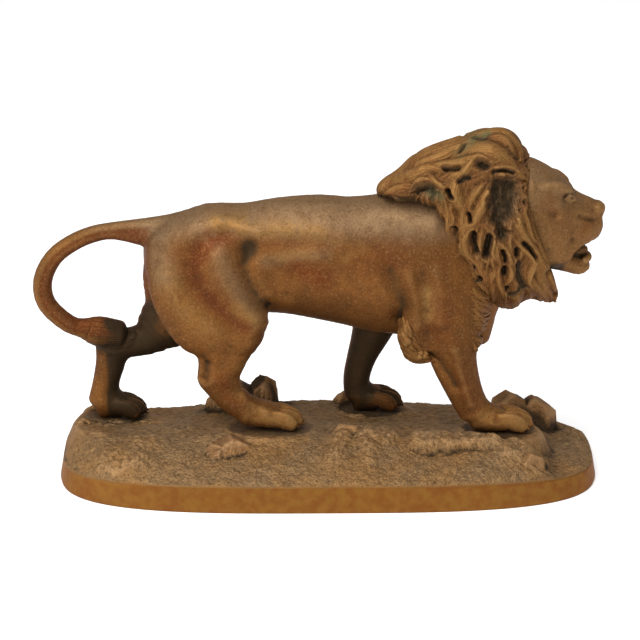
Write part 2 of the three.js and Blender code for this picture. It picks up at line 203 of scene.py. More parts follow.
def ground_height(x, y):
    """The ground: a tilted plane with bell-shaped knolls, stepped down to the shelf at the end."""
    ground = GROUND_HEIGHT - GROUND_TILT * (y + 12)
    for knoll_x, knoll_y, high, reach in KNOLLS:
        ground = ground + high * np.exp(-((x - knoll_x) ** 2 + (y - knoll_y) ** 2) / reach**2)
    return ground + (SHELF_HEIGHT - ground) * smooth(*SHELF_STEP, x)


def blurred(height, rounds):
    """A grid of heights, each made the mean of its four neighbours, round after round."""
    for _ in range(rounds):
        edged = np.pad(height, 1, mode="edge")
        height = (edged[2:, 1:-1] + edged[:-2, 1:-1] + edged[1:-1, 2:] + edged[1:-1, :-2]) / 4
    return height


def tube(ids):
    """Quads between rings of point numbers, each ring closed on itself."""
    turned = np.roll(ids, -1, axis=1)
    return np.stack([ids[:-1], ids[1:], turned[1:], turned[:-1]], -1).reshape(-1, 4)


def cap(ring, pole):
    """Quads that close a ring to the point in its middle, each over two of its sides."""
    after = np.roll(ring, -1)
    return np.stack([ring[::2], np.full_like(ring[::2], pole), after[1::2], after[::2]], -1)


def cast(name, points, faces, **marks):
    """A smooth-shaded object from points in mm, with a number for each point in every mark."""
    mesh = bpy.data.meshes.new(name)
    mesh.vertices.add(len(points))
    mesh.vertices.foreach_set("co", (np.asarray(points) * MM).ravel())
    mesh.loops.add(faces.size)
    mesh.loops.foreach_set("vertex_index", faces.ravel().astype(np.int32))
    mesh.polygons.add(len(faces))
    mesh.polygons.foreach_set("loop_start", np.arange(0, faces.size, faces.shape[1]))
    mesh.update(calc_edges=True)
    mesh.validate()
    mesh.polygons.foreach_set("use_smooth", np.ones(len(mesh.polygons), bool))
    for mark, values in marks.items():
        attribute = mesh.attributes.new(mark, "FLOAT", "POINT")
        attribute.data.foreach_set("value", np.asarray(values, np.float32).ravel())
    piece = bpy.data.objects.new(name, mesh)
    bpy.context.scene.collection.objects.link(piece)
    return piece


def ground_plan(columns, rows):
    """A square grid pulled onto the outlines |x/a|^n + |y/b|^n = r^n, which crowd together
    towards the rim, as x and y."""
    s, t = np.meshgrid(np.linspace(-1, 1, columns), np.linspace(-1, 1, rows), indexing="ij")
    power = np.where((s > 0) & (t > 0), CORNER_SQUARENESS, BASE_SQUARENESS)
    pull = np.maximum((np.abs(s) ** power + np.abs(t) ** power) ** (1 / power), 1e-9)
    radius = np.maximum(np.abs(s), np.abs(t))
    radius = radius * (1 + CROWDING - CROWDING * radius)
    return HALF_LENGTH * radius * (s / pull), HALF_WIDTH * radius * (t / pull)


def way_up(x, y):
    """How far each place lies up the slope, 0 on the band and 1 on the level: found by halving,
    as the share at which the outline that has shrunk by share * slope passes through it."""
    power = np.where((x > 0) & (y > 0), CORNER_SQUARENESS, BASE_SQUARENESS)
    low, high = np.zeros_like(x), np.ones_like(x)
    for _ in range(HALVINGS):
        share = (low + high) / 2
        a = HALF_LENGTH - share * END_SLOPE
        b = HALF_WIDTH - share * SIDE_SLOPE
        outside = np.abs(x / a) ** power + np.abs(y / b) ** power > 1
        high = np.where(outside, share, high)
        low = np.where(outside, low, share)
    return share


def knobbed(z, x, y, flat, clear):
    """The ground with the knobs raised as bells, exp(-d^3), that ridges of grain break up."""
    for knob_x, knob_y, reach_x, reach_y, high, coarse in KNOBS:
        bell = np.exp(-(((x - knob_x) / reach_x) ** 2 + ((y - knob_y) / reach_y) ** 2) ** 1.5)
        ridges = 0.7 - 1.4 * np.abs(rough(flat * [1.3, 0.8, 1], 2.2, 11))
        z = z + clear * bell * (0.8 * high + coarse * ridges)
    return z


def ledged(z, x, y, flat, clear):
    """The ground with the ledge raised behind its ragged edge, and a groove sunk before it."""
    edge = LEDGE_EDGE + 2.0 * rough(flat, 7, 12) + 0.7 * rough(flat, 2, 13)
    near, far = LEDGE_ENDS
    on_ledge = smooth(near, near + LEDGE_FADE, x) * smooth(far, far - LEDGE_FADE, x)
    ledge = on_ledge * smooth(0, 3, y - edge) * smooth(18, 7, y - edge)
    z = z + ledge * (LEDGE_HEIGHT + 0.2 * rough(flat, 1.5, 14))
    return z - on_ledge * LEDGE_HOLLOW * np.exp(-(((y - edge + 1.2) / 1.3) ** 2)) * clear


def stony(z, x, y, flat, clear):
    """The ground with the stones standing out of it in a sunk seam, and where they show."""
    stones = np.zeros_like(z)
    for at, size, turn in STONES:
        top = stone_top(x, y, at, size, turn) + STONE_RUGGEDNESS * rough(flat, 2.4, 5)
        stones = np.maximum(stones, smooth(-0.2, 0.4, top - z) * clear)
        seam = np.exp(-(((top - z) / 0.9) ** 2)) * STONE_SEAM
        z = z + clear * np.where(top > z, top - z, -seam)
    return z, stones


def trodden(z, x, y, flat):
    """Level ground under each paw, with a pinched rim of clay round it, casting pits by the
    left hind paw, and painted shade in the dark spots, round the paws and in the pits."""
    ground_shade = 0
    for mound_x, mound_y, reach_x, reach_y, power, amount in SHADE_SPOTS:
        across = ((x - mound_x) / reach_x) ** power
        ground_shade = ground_shade + amount * np.exp(-across - ((y - mound_y) / reach_y) ** power)
    for paw_x, paw_y, sole, length in PAWS.values():
        away = np.hypot((x - paw_x + 3) / (0.72 * length), (y - paw_y) / 9)
        floor = sole - CASTING_GAP
        pinch = PINCH * np.exp(-(((away - 1.12) / 0.1) ** 2)) * (0.6 + 0.8 * rough(flat, 3, 9))
        z = np.where(away < 1, np.minimum(z, floor), z + pinch)
        near = smooth(1.5, 1.0, away)
        z = z + (np.maximum(z, floor) - z) * near
        ground_shade = np.maximum(ground_shade, 0.6 * smooth(1.3, 0.95, away))
    pits = np.random.default_rng(4).uniform(*PIT_FIELD, (PIT_COUNT, 2))
    for pit_x, pit_y in pits:
        away = np.hypot(x - pit_x, (y - pit_y) * 1.4)
        pit = np.exp(-((away / PIT_RADIUS) ** 4))
        z = z - PIT_DEPTH * pit
        ground_shade = np.maximum(ground_shade, 0.8 * pit)
    return z, ground_shade


def foot_band(edge):
    """Rings of the foot band below the ground's edge, each wider by its lean and a little wavy."""
    x, y, z = edge.T
    leans = RIM_LEAN * (1 - BAND_RINGS) - BAND_ROUNDING * smooth(0.12, 0, BAND_RINGS)
    rings = []
    for height, lean in zip(BAND_RINGS, leans):
        grow_x = (HALF_LENGTH + lean) / HALF_LENGTH
        grow_y = (HALF_WIDTH + lean) / HALF_WIDTH
        ring = np.stack([x * grow_x, y * grow_y, z * height], -1)
        wobble = BAND_WOBBLE * rough(ring, 14, 21)[:, None] * [[1, 1, 0]] * min(1, 8 * height)
        rings.append(ring - np.abs(wobble) * np.sign(ring) * [1, 1, 0])
    return np.stack(rings)


def rocky_base(columns, rows):
    """The ground's grid, the band's rings below its edge, and a flat underside that closes it."""
    x, y = ground_plan(columns, rows)
    share = way_up(x, y)
    rim = rim_height(x, y)
    z = rim + (ground_height(x, y) - rim) * share**RISE_CURVE

    flat = np.stack([x, y, z], -1)
    clear = smooth(0, 0.1, share)
    slope = smooth(1, 0.85, share)
    lumps = 0
    for size, level, more, seed in LUMPS:
        lumps = lumps + (level + more * slope) * rough(flat, size, seed)
    z = knobbed(z + clear * lumps, x, y, flat, clear)
    z = ledged(z, x, y, flat, clear)
    z, stones = stony(z, x, y, flat, clear)
    z, ground_shade = trodden(z, x, y, flat)

    spread = columns / FINE_COLUMNS
    small = blurred(z, round(SMALL_ROUNDS * spread**2)) - z
    large = blurred(z, round(LARGE_ROUNDS * spread**2)) - z
    # Painted shade in the hollows, the dark spots and round the paws; a painted highlight on the rises,
    # below 0
    hollow = np.clip(small * SMALL_SHADE + large * LARGE_SHADE + ground_shade, -1, 1)
    hollow = hollow * smooth(0.01, 0.12, share)
    top = np.stack([x, y, z], -1).reshape(-1, 3)
    index = np.arange(columns * rows).reshape(columns, rows)
    ground = [index[:-1, :-1], index[1:, :-1], index[1:, 1:], index[:-1, 1:]]

    edge = np.concatenate([index[:, 0], index[-1, 1:], index[-2::-1, -1], index[0, -2:0:-1]])
    band = foot_band(top[edge])
    first, count = len(top), band[..., 0].size
    ids = np.vstack([edge, first + np.arange(count).reshape(len(band), -1)])
    zeros = np.zeros(count + 1)
    return cast(
        "rocky_base_casting",
        np.vstack([top, band.reshape(-1, 3), [[0, 0, 0]]]),
        np.vstack([np.stack(ground, -1).reshape(-1, 4), tube(ids), cap(ids[-1], first + count)]),
        hollow=np.concatenate([hollow.ravel(), zeros]),
        stone=np.concatenate([stones.ravel(), zeros]),
        slope=np.concatenate([smooth(0.98, 0.7, share).ravel(), zeros]),
        band=np.concatenate([1 - smooth(0, 0.035, share).ravel(), zeros + 1]),
    )


# Bronze under its patina: how metallic it is, how strong its shine is straight on and that shine's
# tint, and how much the roughness changes from place to place
BRONZE_METALLIC = 0.5
BRONZE_SPECULAR = 0.3
BRONZE_TINT = (0.45, 0.3, 0.18, 1)
ROUGHNESS_CHANGE = 0.15


class Dial:
    """A number in a material. Sums, differences and products of dials add their own Math nodes."""

    def __init__(self, finish, socket):
        self.finish = finish
        self.socket = socket

    def math(self, operation, *values):
        return self.finish.node("ShaderNodeMath", {"operation": operation}, values)

    def __add__(self, other):
        return self.math("ADD", self, other)

    def __rsub__(self, other):
        return self.math("SUBTRACT", other, self)

    def __neg__(self):
        return self * -1

    def __mul__(self, other):
        return self.math("MULTIPLY", self, other)

    __radd__ = __add__
    __rmul__ = __mul__

    def between(self, low, high):
        """0 below low, 1 above high and a soft step between."""
        settings = {"interpolation_type": "SMOOTHSTEP"}
        return self.finish.node("ShaderNodeMapRange", settings, (self, low, high, 0.0, 1.0))


class Finish:
    """A bronze finish: one method makes every node, from its type, settings and sockets."""

    def __init__(self, name):
        self.material = bpy.data.materials.new(name)
        self.material.use_nodes = True
        self.tree = self.material.node_tree
        self.surface = self.tree.nodes["Principled BSDF"]

    def fill(self, node, sockets):
        """Links or sets sockets, given by name or number, or as a row from the first on."""
        pairs = sockets.items() if isinstance(sockets, dict) else enumerate(sockets)
        for key, value in pairs:
            if isinstance(value, Dial):
                self.tree.links.new(value.socket, node.inputs[key])
            else:
                node.inputs[key].default_value = value

    def node(self, kind, settings, sockets, output=0):
        made = self.tree.nodes.new(kind)
        for setting, value in settings.items():
            setattr(made, setting, value)
        self.fill(made, sockets)
        return Dial(self, made.outputs[output])

    def mark(self, name):
        """The number that the mesh holds at each point under this name."""
        return self.node("ShaderNodeAttribute", {"attribute_name": name}, {}, "Fac")

    def place(self, scale):
        """Object coordinates in mm, stretched by the given scale."""
        where = self.node("ShaderNodeTexCoord", {}, {}, "Object")
        size = tuple(s / MM for s in scale)
        return self.node("ShaderNodeVectorMath", {"operation": "MULTIPLY"}, (where, size))

    def noise(self, size, detail, scale=(1, 1, 1)):
        """Cloudy noise from 0 to 1 whose patches have the given size in mm."""
        sockets = {"Vector": self.place(scale), "Scale": 1 / size, "Detail": detail}
        return self.node("ShaderNodeTexNoise", {}, sockets)

    def mix(self, amount, first, second):
        """One colour laid over another by the given amount."""
        under, over = (c if isinstance(c, Dial) else (*c, 1) for c in (first, second))
        sockets = {0: amount, 6: under, 7: over}
        return self.node("ShaderNodeMix", {"data_type": "RGBA"}, sockets, 2)

    def relief(self, height, depth, strength, under=None):
        """A bump of the given depth in mm, over another one where there is one."""
        sockets = {"Height": height, "Distance": depth * MM, "Strength": strength}
        if under is not None:
            sockets["Normal"] = under
        return self.node("ShaderNodeBump", {}, sockets)

    def dress(self, piece, colour, roughness, normal):
        """Joins the colour, roughness and bump to bronze, and gives the piece this finish."""
        self.fill(self.surface, {
            "Base Color": colour,
            "Roughness": roughness,
            "Normal": normal,
            "Metallic": BRONZE_METALLIC,
            "Specular IOR Level": BRONZE_SPECULAR,
            "Specular Tint": BRONZE_TINT,
        })
        piece.data.materials.clear()
        piece.data.materials.append(self.material)


OLIVE_EARTH = (0.215, 0.132, 0.064)
RUSSET_EARTH = (0.265, 0.140, 0.052)
STONE_BROWN = (0.225, 0.098, 0.036)
EARTH_STAIN = (0.075, 0.046, 0.024)
COMB_GROOVE = (0.050, 0.034, 0.020)
COMB_CREST = (0.31, 0.20, 0.105)
GRIT_CREST = (0.33, 0.188, 0.075)
GRIT_HOLLOW = (0.070, 0.040, 0.018)
BAND_ORANGE = (0.180, 0.058, 0.009)
BAND_OCHRE = (0.228, 0.100, 0.017)
GROUND_SHADE_BLACK = (0.022, 0.016, 0.010)
GROUND_HIGHLIGHT = (0.40, 0.235, 0.11)
GROUND_ROUGHNESS = 0.45


def ground_finish(piece):
    """Combed brown patina on the ground, redder stones, a smooth orange-brown band, painted shade and
    highlights.
    """
    paint = Finish("ground_bronze")
    hollow, band, stone, slope = (paint.mark(name) for name in ("hollow", "band", "stone", "slope"))
    earth = (1 - band) * (1 - stone * 0.35)
    combed = earth * (1 - slope * 0.8)
    grainy = earth * (slope * 0.6 + 0.4)
    comb = paint.noise(0.9, 3.0, (0.5, 1.5, 1.5))
    grit = paint.noise(0.8, 4.0)
    cloud = paint.noise(16, 3.0)
    mottle = paint.noise(3.2, 4.0)
    brown = paint.mix(cloud.between(0.35, 0.65), OLIVE_EARTH, RUSSET_EARTH)
    for amount, colour in (
        (stone * 0.6, STONE_BROWN),
        (mottle.between(0.35, 0.75) * 0.4, EARTH_STAIN),
        (comb.between(0.5, 0.64) * combed * 0.7, COMB_GROOVE),
        (comb.between(0.5, 0.34) * combed * 0.5, COMB_CREST),
        (grit.between(0.5, 0.68) * grainy * 0.6, GRIT_CREST),
        (grit.between(0.48, 0.34) * grainy * 0.6, GRIT_HOLLOW),
        (band * 0.9, paint.mix(mottle.between(0.3, 0.7), BAND_ORANGE, BAND_OCHRE)),
        # Painted shade, near black, in the hollows, the dark spots and round the paws; a painted
        # highlight on the rises
        (hollow.between(0.1, 0.9) * 0.85, GROUND_SHADE_BLACK),
        ((-hollow).between(0.08, 0.6) * 0.45, GROUND_HIGHLIGHT),
    ):
        brown = paint.mix(amount, brown, colour)
    bump = paint.relief(comb * combed, 0.4, 0.8)
    bump = paint.relief(grit * grainy, 0.7, 0.9, bump)
    paint.dress(piece, brown, mottle * ROUGHNESS_CHANGE + GROUND_ROUGHNESS, bump)


base = rocky_base(GROUND_COLUMNS, GROUND_ROWS)
ground_finish(base)
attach(base, "root")
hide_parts("rocky_base")

# The lion's body, legs and tail: part of one hollow bronze casting. The maker built it up in clay as
# rounded muscle over muscle, then drew the folds and sinews in with a loop tool.


# Distances in mm that stand for empty space, in the block and before a form's first span
EMPTY = 8
FAR = 60
# How far a form's ends bulge, as a share of its half height there
END_BULGE = 0.6
# The folds' half depth, and where they begin and are full, from the middle plane outwards
FOLD_DEPTH = 30
FOLD_SIDE = (3, 9)


class Clay:
    """A block of space whose cell corners each hold their distance to the form, inside below 0."""

    def __init__(self, low, high, cell):
        self.low = np.array(low, float)
        self.cell = cell
        count = np.ceil((np.array(high) - self.low) / cell).astype(int) + 1
        self.field = np.full(count, EMPTY, np.float32)

    def block(self, low, high):
        """The part of the block between two corners, and its x, y and z."""
        first = np.clip(np.floor((low - self.low) / self.cell), 0, None).astype(int)
        last = np.ceil((high - self.low) / self.cell).astype(int) + 1
        last = np.clip(last, 0, self.field.shape)
        part = tuple(slice(a, b) for a, b in zip(first, last))
        lines = [self.low[n] + self.cell * np.arange(first[n], last[n]) for n in range(3)]
        x, y, z = np.meshgrid(*lines, indexing="ij", sparse=True)
        return part, x.astype(np.float32), y.astype(np.float32), z.astype(np.float32)

    def form(self, stations, margin, steps=3):
        """Distance to a form through stations [x, y, z, radius], or with an elliptical section
        [x, y, z, half height, half width]: where the place lies at k times the section's size,
        the distance is (k - 1) over the slope of k."""
        line = curve_through(stations, steps)
        reach = line[:, 3:].max() + margin
        part, x, y, z = self.block(line[:, :3].min(0) - reach, line[:, :3].max(0) + reach)
        nearest = np.full(np.broadcast_shapes(x.shape, y.shape, z.shape), FAR, np.float32)
        for a, b in zip(line[:-1], line[1:]):
            run = b[:3] - a[:3]
            length = np.linalg.norm(run)
            ahead = run / length
            up = np.array([ahead[2], 0, -ahead[0]])
            up = up / np.linalg.norm(up) if np.linalg.norm(up) > 0.05 else np.array([0, 0, 1.0])
            side = np.cross(ahead, up)
            dx, dy, dz = x - a[0], y - a[1], z - a[2]
            forward = dx * ahead[0] + dy * ahead[1] + dz * ahead[2]
            t = np.clip(forward / length, 0, 1)
            high = a[3] + t * (b[3] - a[3])
            if len(a) == 4:
                beyond = (forward - t * length) ** 2
                away = np.maximum(dx**2 + dy**2 + dz**2 - forward**2, 0) + beyond
                nearest = np.minimum(nearest, np.sqrt(away) - high)
                continue
            wide = a[4] + t * (b[4] - a[4])
            past = (forward - t * length) / (END_BULGE * high)
            up_share = (dx * up[0] + dy * up[1] + dz * up[2]) / high
            side_share = (dx * side[0] + dy * side[1] + dz * side[2]) / wide
            share = np.sqrt(up_share**2 + side_share**2 + past**2)
            slope = (up_share / high) ** 2 + (side_share / wide) ** 2
            slope = slope + (past / (END_BULGE * high)) ** 2
            nearest = np.minimum(nearest, share * (share - 1) / (np.sqrt(slope) + 1e-4))
        return part, nearest

    def add(self, stations, blend):
        """Joins a form on, with a fillet where the two distances are within blend of each other:
        min(a, b) - (blend - |a - b|)^2 / (4 blend)."""
        part, other = self.form(stations, blend + 3)
        here = self.field[part]
        near = np.maximum(blend - np.abs(here - other), 0)
        self.field[part] = np.minimum(here, other) - near**2 / (4 * blend)

    def cut(self, stations, blend):
        """Takes a form away, with its edge rounded in the same way."""
        part, other = self.form(stations, blend + 3)
        here = self.field[part]
        near = np.maximum(blend - np.abs(here + other), 0)
        self.field[part] = np.maximum(here, -other) + near**2 / (4 * blend)

    def level(self, x, y, sole, half_length, half_width):
        """Cuts a paw flat at its sole."""
        low = (x - half_length, y - half_width, sole - PAW_DEPTH)
        part, _, _, z = self.block(low, (x + half_length, y + half_width, sole + 2))
        self.field[part] = np.maximum(self.field[part], sole - z)

    def stroke(self, side, places, width, height):
        """Raises or sinks the surface along a line seen from the side, by a bell of its distance."""
        line = np.array(places, float)
        span = 3 * width
        low = (line[:, 0].min() - span, -FOLD_DEPTH, line[:, 1].min() - span)
        high = (line[:, 0].max() + span, FOLD_DEPTH, line[:, 1].max() + span)
        part, x, y, z = self.block(low, high)
        outer = smooth(*FOLD_SIDE, y * side)
        self.field[part] -= height * np.exp(-away_from(places, x, z) / width**2) * outer

    def skin(self):
        """One point in each cell that the surface crosses, the mean of its crossings with the
        cell's edges, and one quad round each crossed edge."""
        inside = self.field < 0
        corners = list(np.ndindex(2, 2, 2))
        shape = tuple(n - 1 for n in inside.shape)
        windows = [tuple(slice(c, c + n) for c, n in zip(corner, shape)) for corner in corners]
        count = sum(inside[w].astype(np.uint8) for w in windows)
        crossed = (count > 0) & (count < 8)
        cells = np.argwhere(crossed)
        index = np.full(shape, -1, np.int32)
        index[crossed] = np.arange(len(cells))
        values = [self.field[tuple((cells + corner).T)] for corner in corners]
        total = np.zeros((len(cells), 3))
        hits = np.zeros(len(cells))
        for a, b in [(a, b) for a in range(8) for b in range(a + 1, 8)]:
            step = np.subtract(corners[b], corners[a])
            if np.abs(step).sum() != 1:
                continue
            cross = (values[a] < 0) != (values[b] < 0)
            share = np.where(cross, values[a] / np.where(cross, values[a] - values[b], 1), 0)
            total += cross[:, None] * (np.array(corners[a]) + share[:, None] * step)
            hits += cross
        points = self.low + self.cell * (cells + total / hits[:, None])
        faces = []
        for axis in range(3):
            order = (axis, (axis + 1) % 3, (axis + 2) % 3)
            solid = inside.transpose(order)[:, 1:-1, 1:-1]
            ids = index.transpose(order)
            ring = [ids[:, :-1, :-1], ids[:, 1:, :-1], ids[:, 1:, 1:], ids[:, :-1, 1:]]
            quads = np.stack(ring, -1)
            outward = solid[:-1] & ~solid[1:]
            inward = ~solid[:-1] & solid[1:]
            faces += [quads[outward], quads[inward][:, ::-1]]
        return points, np.vstack(faces)


def curve_through(stations, steps):
    """Catmull-Rom curve through rows of numbers, with the given count of steps for each span."""
    rows = np.array(stations, float)
    padded = np.vstack([2 * rows[0] - rows[1], rows, 2 * rows[-1] - rows[-2]])
    t = (np.arange(steps) / steps)[None, :, None]
    a, b, c, d = (padded[n : n + len(rows) - 1, None, :] for n in range(4))
    bend = 2 * a - 5 * b + 4 * c - d + t * (3 * b - a - 3 * c + d)
    line = b + t * (c - a + t * bend) / 2
    return np.vstack([line.reshape(-1, rows.shape[1]), rows[-1]])


def edges_of(faces):
    """Both ends of every side of every face."""
    return faces.ravel(), np.roll(faces, -1, axis=1).ravel()


def softened(points, faces, rounds):
    """Points moved to the mean of their neighbours, round after round."""
    start, end = edges_of(faces)
    joined = np.bincount(start, minlength=len(points)) + np.bincount(end, minlength=len(points))
    for _ in range(rounds):
        total = np.stack(
            [
                np.bincount(start, points[end, n], len(points))
                + np.bincount(end, points[start, n], len(points))
                for n in range(3)
            ],
            -1,
        )
        points = total / joined[:, None]
    return points


def normals_of(points, faces):
    """Unit normal at each point, from the cross products of the faces' diagonals."""
    a, b, c, d = (points[faces[:, n]] for n in range(4))
    across = np.cross(c - a, d - b)
    total = np.zeros_like(points)
    for corner in range(4):
        for n in range(3):
            total[:, n] += np.bincount(faces[:, corner], across[:, n], len(points))
    return total / np.maximum(np.linalg.norm(total, axis=1, keepdims=True), 1e-9)


# Rounds of softening on a mesh of 1 mm that show the close and the wide hollows
CLOSE_ROUNDS, WIDE_ROUNDS = 1.1, 12


def hollowness(points, faces, cell, close_gain=1.5, wide_gain=0.45):
    """How far each point lies under the mean surface round it, close by and further away."""
    normals = normals_of(points, faces)
    close = softened(points, faces, max(1, round(CLOSE_ROUNDS / cell**2)))
    wide = softened(close, faces, round(WIDE_ROUNDS / cell**2))
    under = ((close - points) * normals).sum(1) * close_gain
    under += ((wide - points) * normals).sum(1) * wide_gain
    return np.clip(under, -1, 1)


BODY_LOW, BODY_HIGH = (-107, -26, 12), (76, 26, 124)
# The forms' stations in mm, as Clay.form reads them, and in a table also each form's blend
TORSO = [
    [-58, 0, 81.5, 10.5, 9.5],
    [-52, 0, 80, 15.3, 13.5],
    [-42, 0, 78.6, 19.9, 15.5],
    [-28, 0, 78.8, 19.9, 14.5],
    [-16, 0, 79.7, 21, 15],
    [-4, 0, 79.3, 22.3, 16.5],
    [8, 0, 77.5, 23, 17.5],
    [20, 0, 76, 24.5, 18],
    [32, 0, 76, 26, 17.5],
    [44, 0, 74, 25, 15],
    [51, 0, 67, 17, 10],
]
FORMS = {
    "chest": ([[49, 0, 74, 12, 11], [53, 0, 60, 7, 9], [52, 0, 50, 5.8, 7]], 4),
    "withers": ([[12, 0, 91.5, 8, 9], [24, 0, 93, 8.6, 14], [36, 0, 92, 9, 16]], 4),
    "right_foreleg": ([[35, -8, 88, 12, 8], [41, -11.5, 71, 14, 8.8], [43.3, -13.5, 55, 10.2, 7.6],
                       [44, -13.5, 46, 8.3, 6.3], [47.9, -13, 34, 6.4, 5.4],
                       [51.6, -12.8, 26, 5.7, 5.1]], 5),
    "right_fore_paw": ([[53.5, -12.6, 24, 5.6, 5.2], [59, -12.4, 22.6, 4.6, 6],
                        [63, -12.3, 21.6, 3.2, 5.7]], 2),
    "right_elbow": ([[31, -14.5, 68, 4, 3], [28.6, -16.5, 58, 5, 4],
                     [31.5, -15.5, 49.5, 5.6, 4]], 3),
    "left_foreleg": ([[28, 8, 84, 12, 8], [22, 11.5, 66, 11.5, 8], [16, 12.5, 47, 7.2, 6.2],
                      [12.6, 12.2, 38, 5.4, 5.2], [10.6, 12, 30, 4.8, 4.8],
                      [10.8, 12, 24, 4.8, 5]], 5),
    "left_fore_paw": ([[11.5, 12, 22, 5.2, 5.3], [17, 12, 21.8, 4.6, 6],
                       [18, 12, 20.8, 3.2, 5.6]], 2),
    "right_thigh": ([[-44, -6.5, 84, 18.5, 8], [-43, -9.5, 73, 20, 8.8],
                     [-39.5, -11.8, 63.5, 18.8, 8.6], [-36.6, -12.4, 56.5, 15.8, 8],
                     [-36.3, -12.8, 48.5, 9.1, 6.6], [-38.6, -13, 40, 7, 5.3]], 5),
    "right_shank": ([[-40.2, -13, 38.5, 5.8, 4.9], [-35.5, -13, 31.8, 5, 4.8],
                     [-29, -12.8, 26.5, 4.8, 4.8]], 3),
    "right_heel_tendon": ([[-44.6, -13.4, 50, 2.2], [-43.8, -13.4, 44, 1.9],
                           [-43.4, -13.2, 39, 2.8]], 1.6),
    "right_hind_paw": ([[-28.5, -12.7, 25.4, 4.8, 5], [-21, -12.5, 24.4, 4.5, 6],
                        [-17.5, -12.4, 23, 3.2, 5.6]], 2),
    "left_thigh": ([[-48.5, 6.5, 81, 16, 8], [-49, 10.5, 67.5, 17, 8.5],
                    [-52.5, 11.5, 56.5, 13.6, 7.2], [-59, 12, 50, 10, 6.4],
                    [-65, 12, 44.8, 6.2, 5.2], [-76, 12, 42.4, 5.2, 4.8]], 5),
    "left_shank": ([[-78.6, 12, 43.5, 5, 4.7], [-78, 12, 37, 5.4, 4.4], [-79.8, 12, 29, 4.8, 4.4],
                    [-80.8, 12, 21.5, 5.6, 4.8]], 3),
    "left_hind_paw": ([[-80.6, 12, 20.4, 5.6, 5.1], [-75, 12, 19.6, 4.6, 5.8],
                       [-74.4, 12, 18.6, 3.2, 5.4]], 2),
    "neck": ([[65, 0, 100, 12, 11], [56, 0, 92, 20, 13], [46, 0, 84, 24, 14]], 4),
}
TAIL = [
    [-50, 0, 88, 7.7, 7],
    [-62, 0.3, 88.2, 5.6, 4.4],
    [-75, 1.3, 88.6, 3.2, 2.9],
    [-83, 2.2, 87, 3, 2.9],
    [-90.5, 3, 83.4, 3.1, 2.9],
    [-97.2, 4, 77.7, 3.2, 3],
    [-101.2, 5, 69, 3.4, 3],
    [-100, 6, 59.9, 3.4, 3],
    [-92.5, 7.3, 52, 3.3, 3],
    [-86, 8.4, 49.6, 3.2, 3],
]
TUFT = [[-88, 8, 50.2, 3.4, 3], [-82.4, 9, 48.6, 5.5, 4.8], [-75, 10, 47, 5.2, 4.6]]
# Toes, claws and the gaps between toes, from the paw's middle: ahead, share of the way across,
# height over the sole, and sizes
TOE = [
    (-4, 0.75, 4.2, 2.4, 1.4),
    (1, 0.95, 4.7, 2.9, 1.65),
    (4.8, 1, 3.6, 3.1, 1.8),
    (7, 1.02, 2.2, 2.3, 1.6),
]
CLAW = [(7.4, 1.02, 2.8, 0.8), (9.4, 1.02, 1.2, 0.3)]
TOE_GAP = [(0.5, 0.9, 8.2, 0.5), (4.5, 1, 6.4, 0.7), (9.2, 1.04, 3, 0.5)]
TOES_ACROSS = (-4.6, -1.6, 1.6, 4.6)
GAPS_ACROSS = (-3.1, 0, 3.1)
TOES_BEND = 0.1
PAW_DEPTH = 9
PAW_HALF_WIDTH = 10
RIGHT, LEFT = BOTH = (-1, 1)
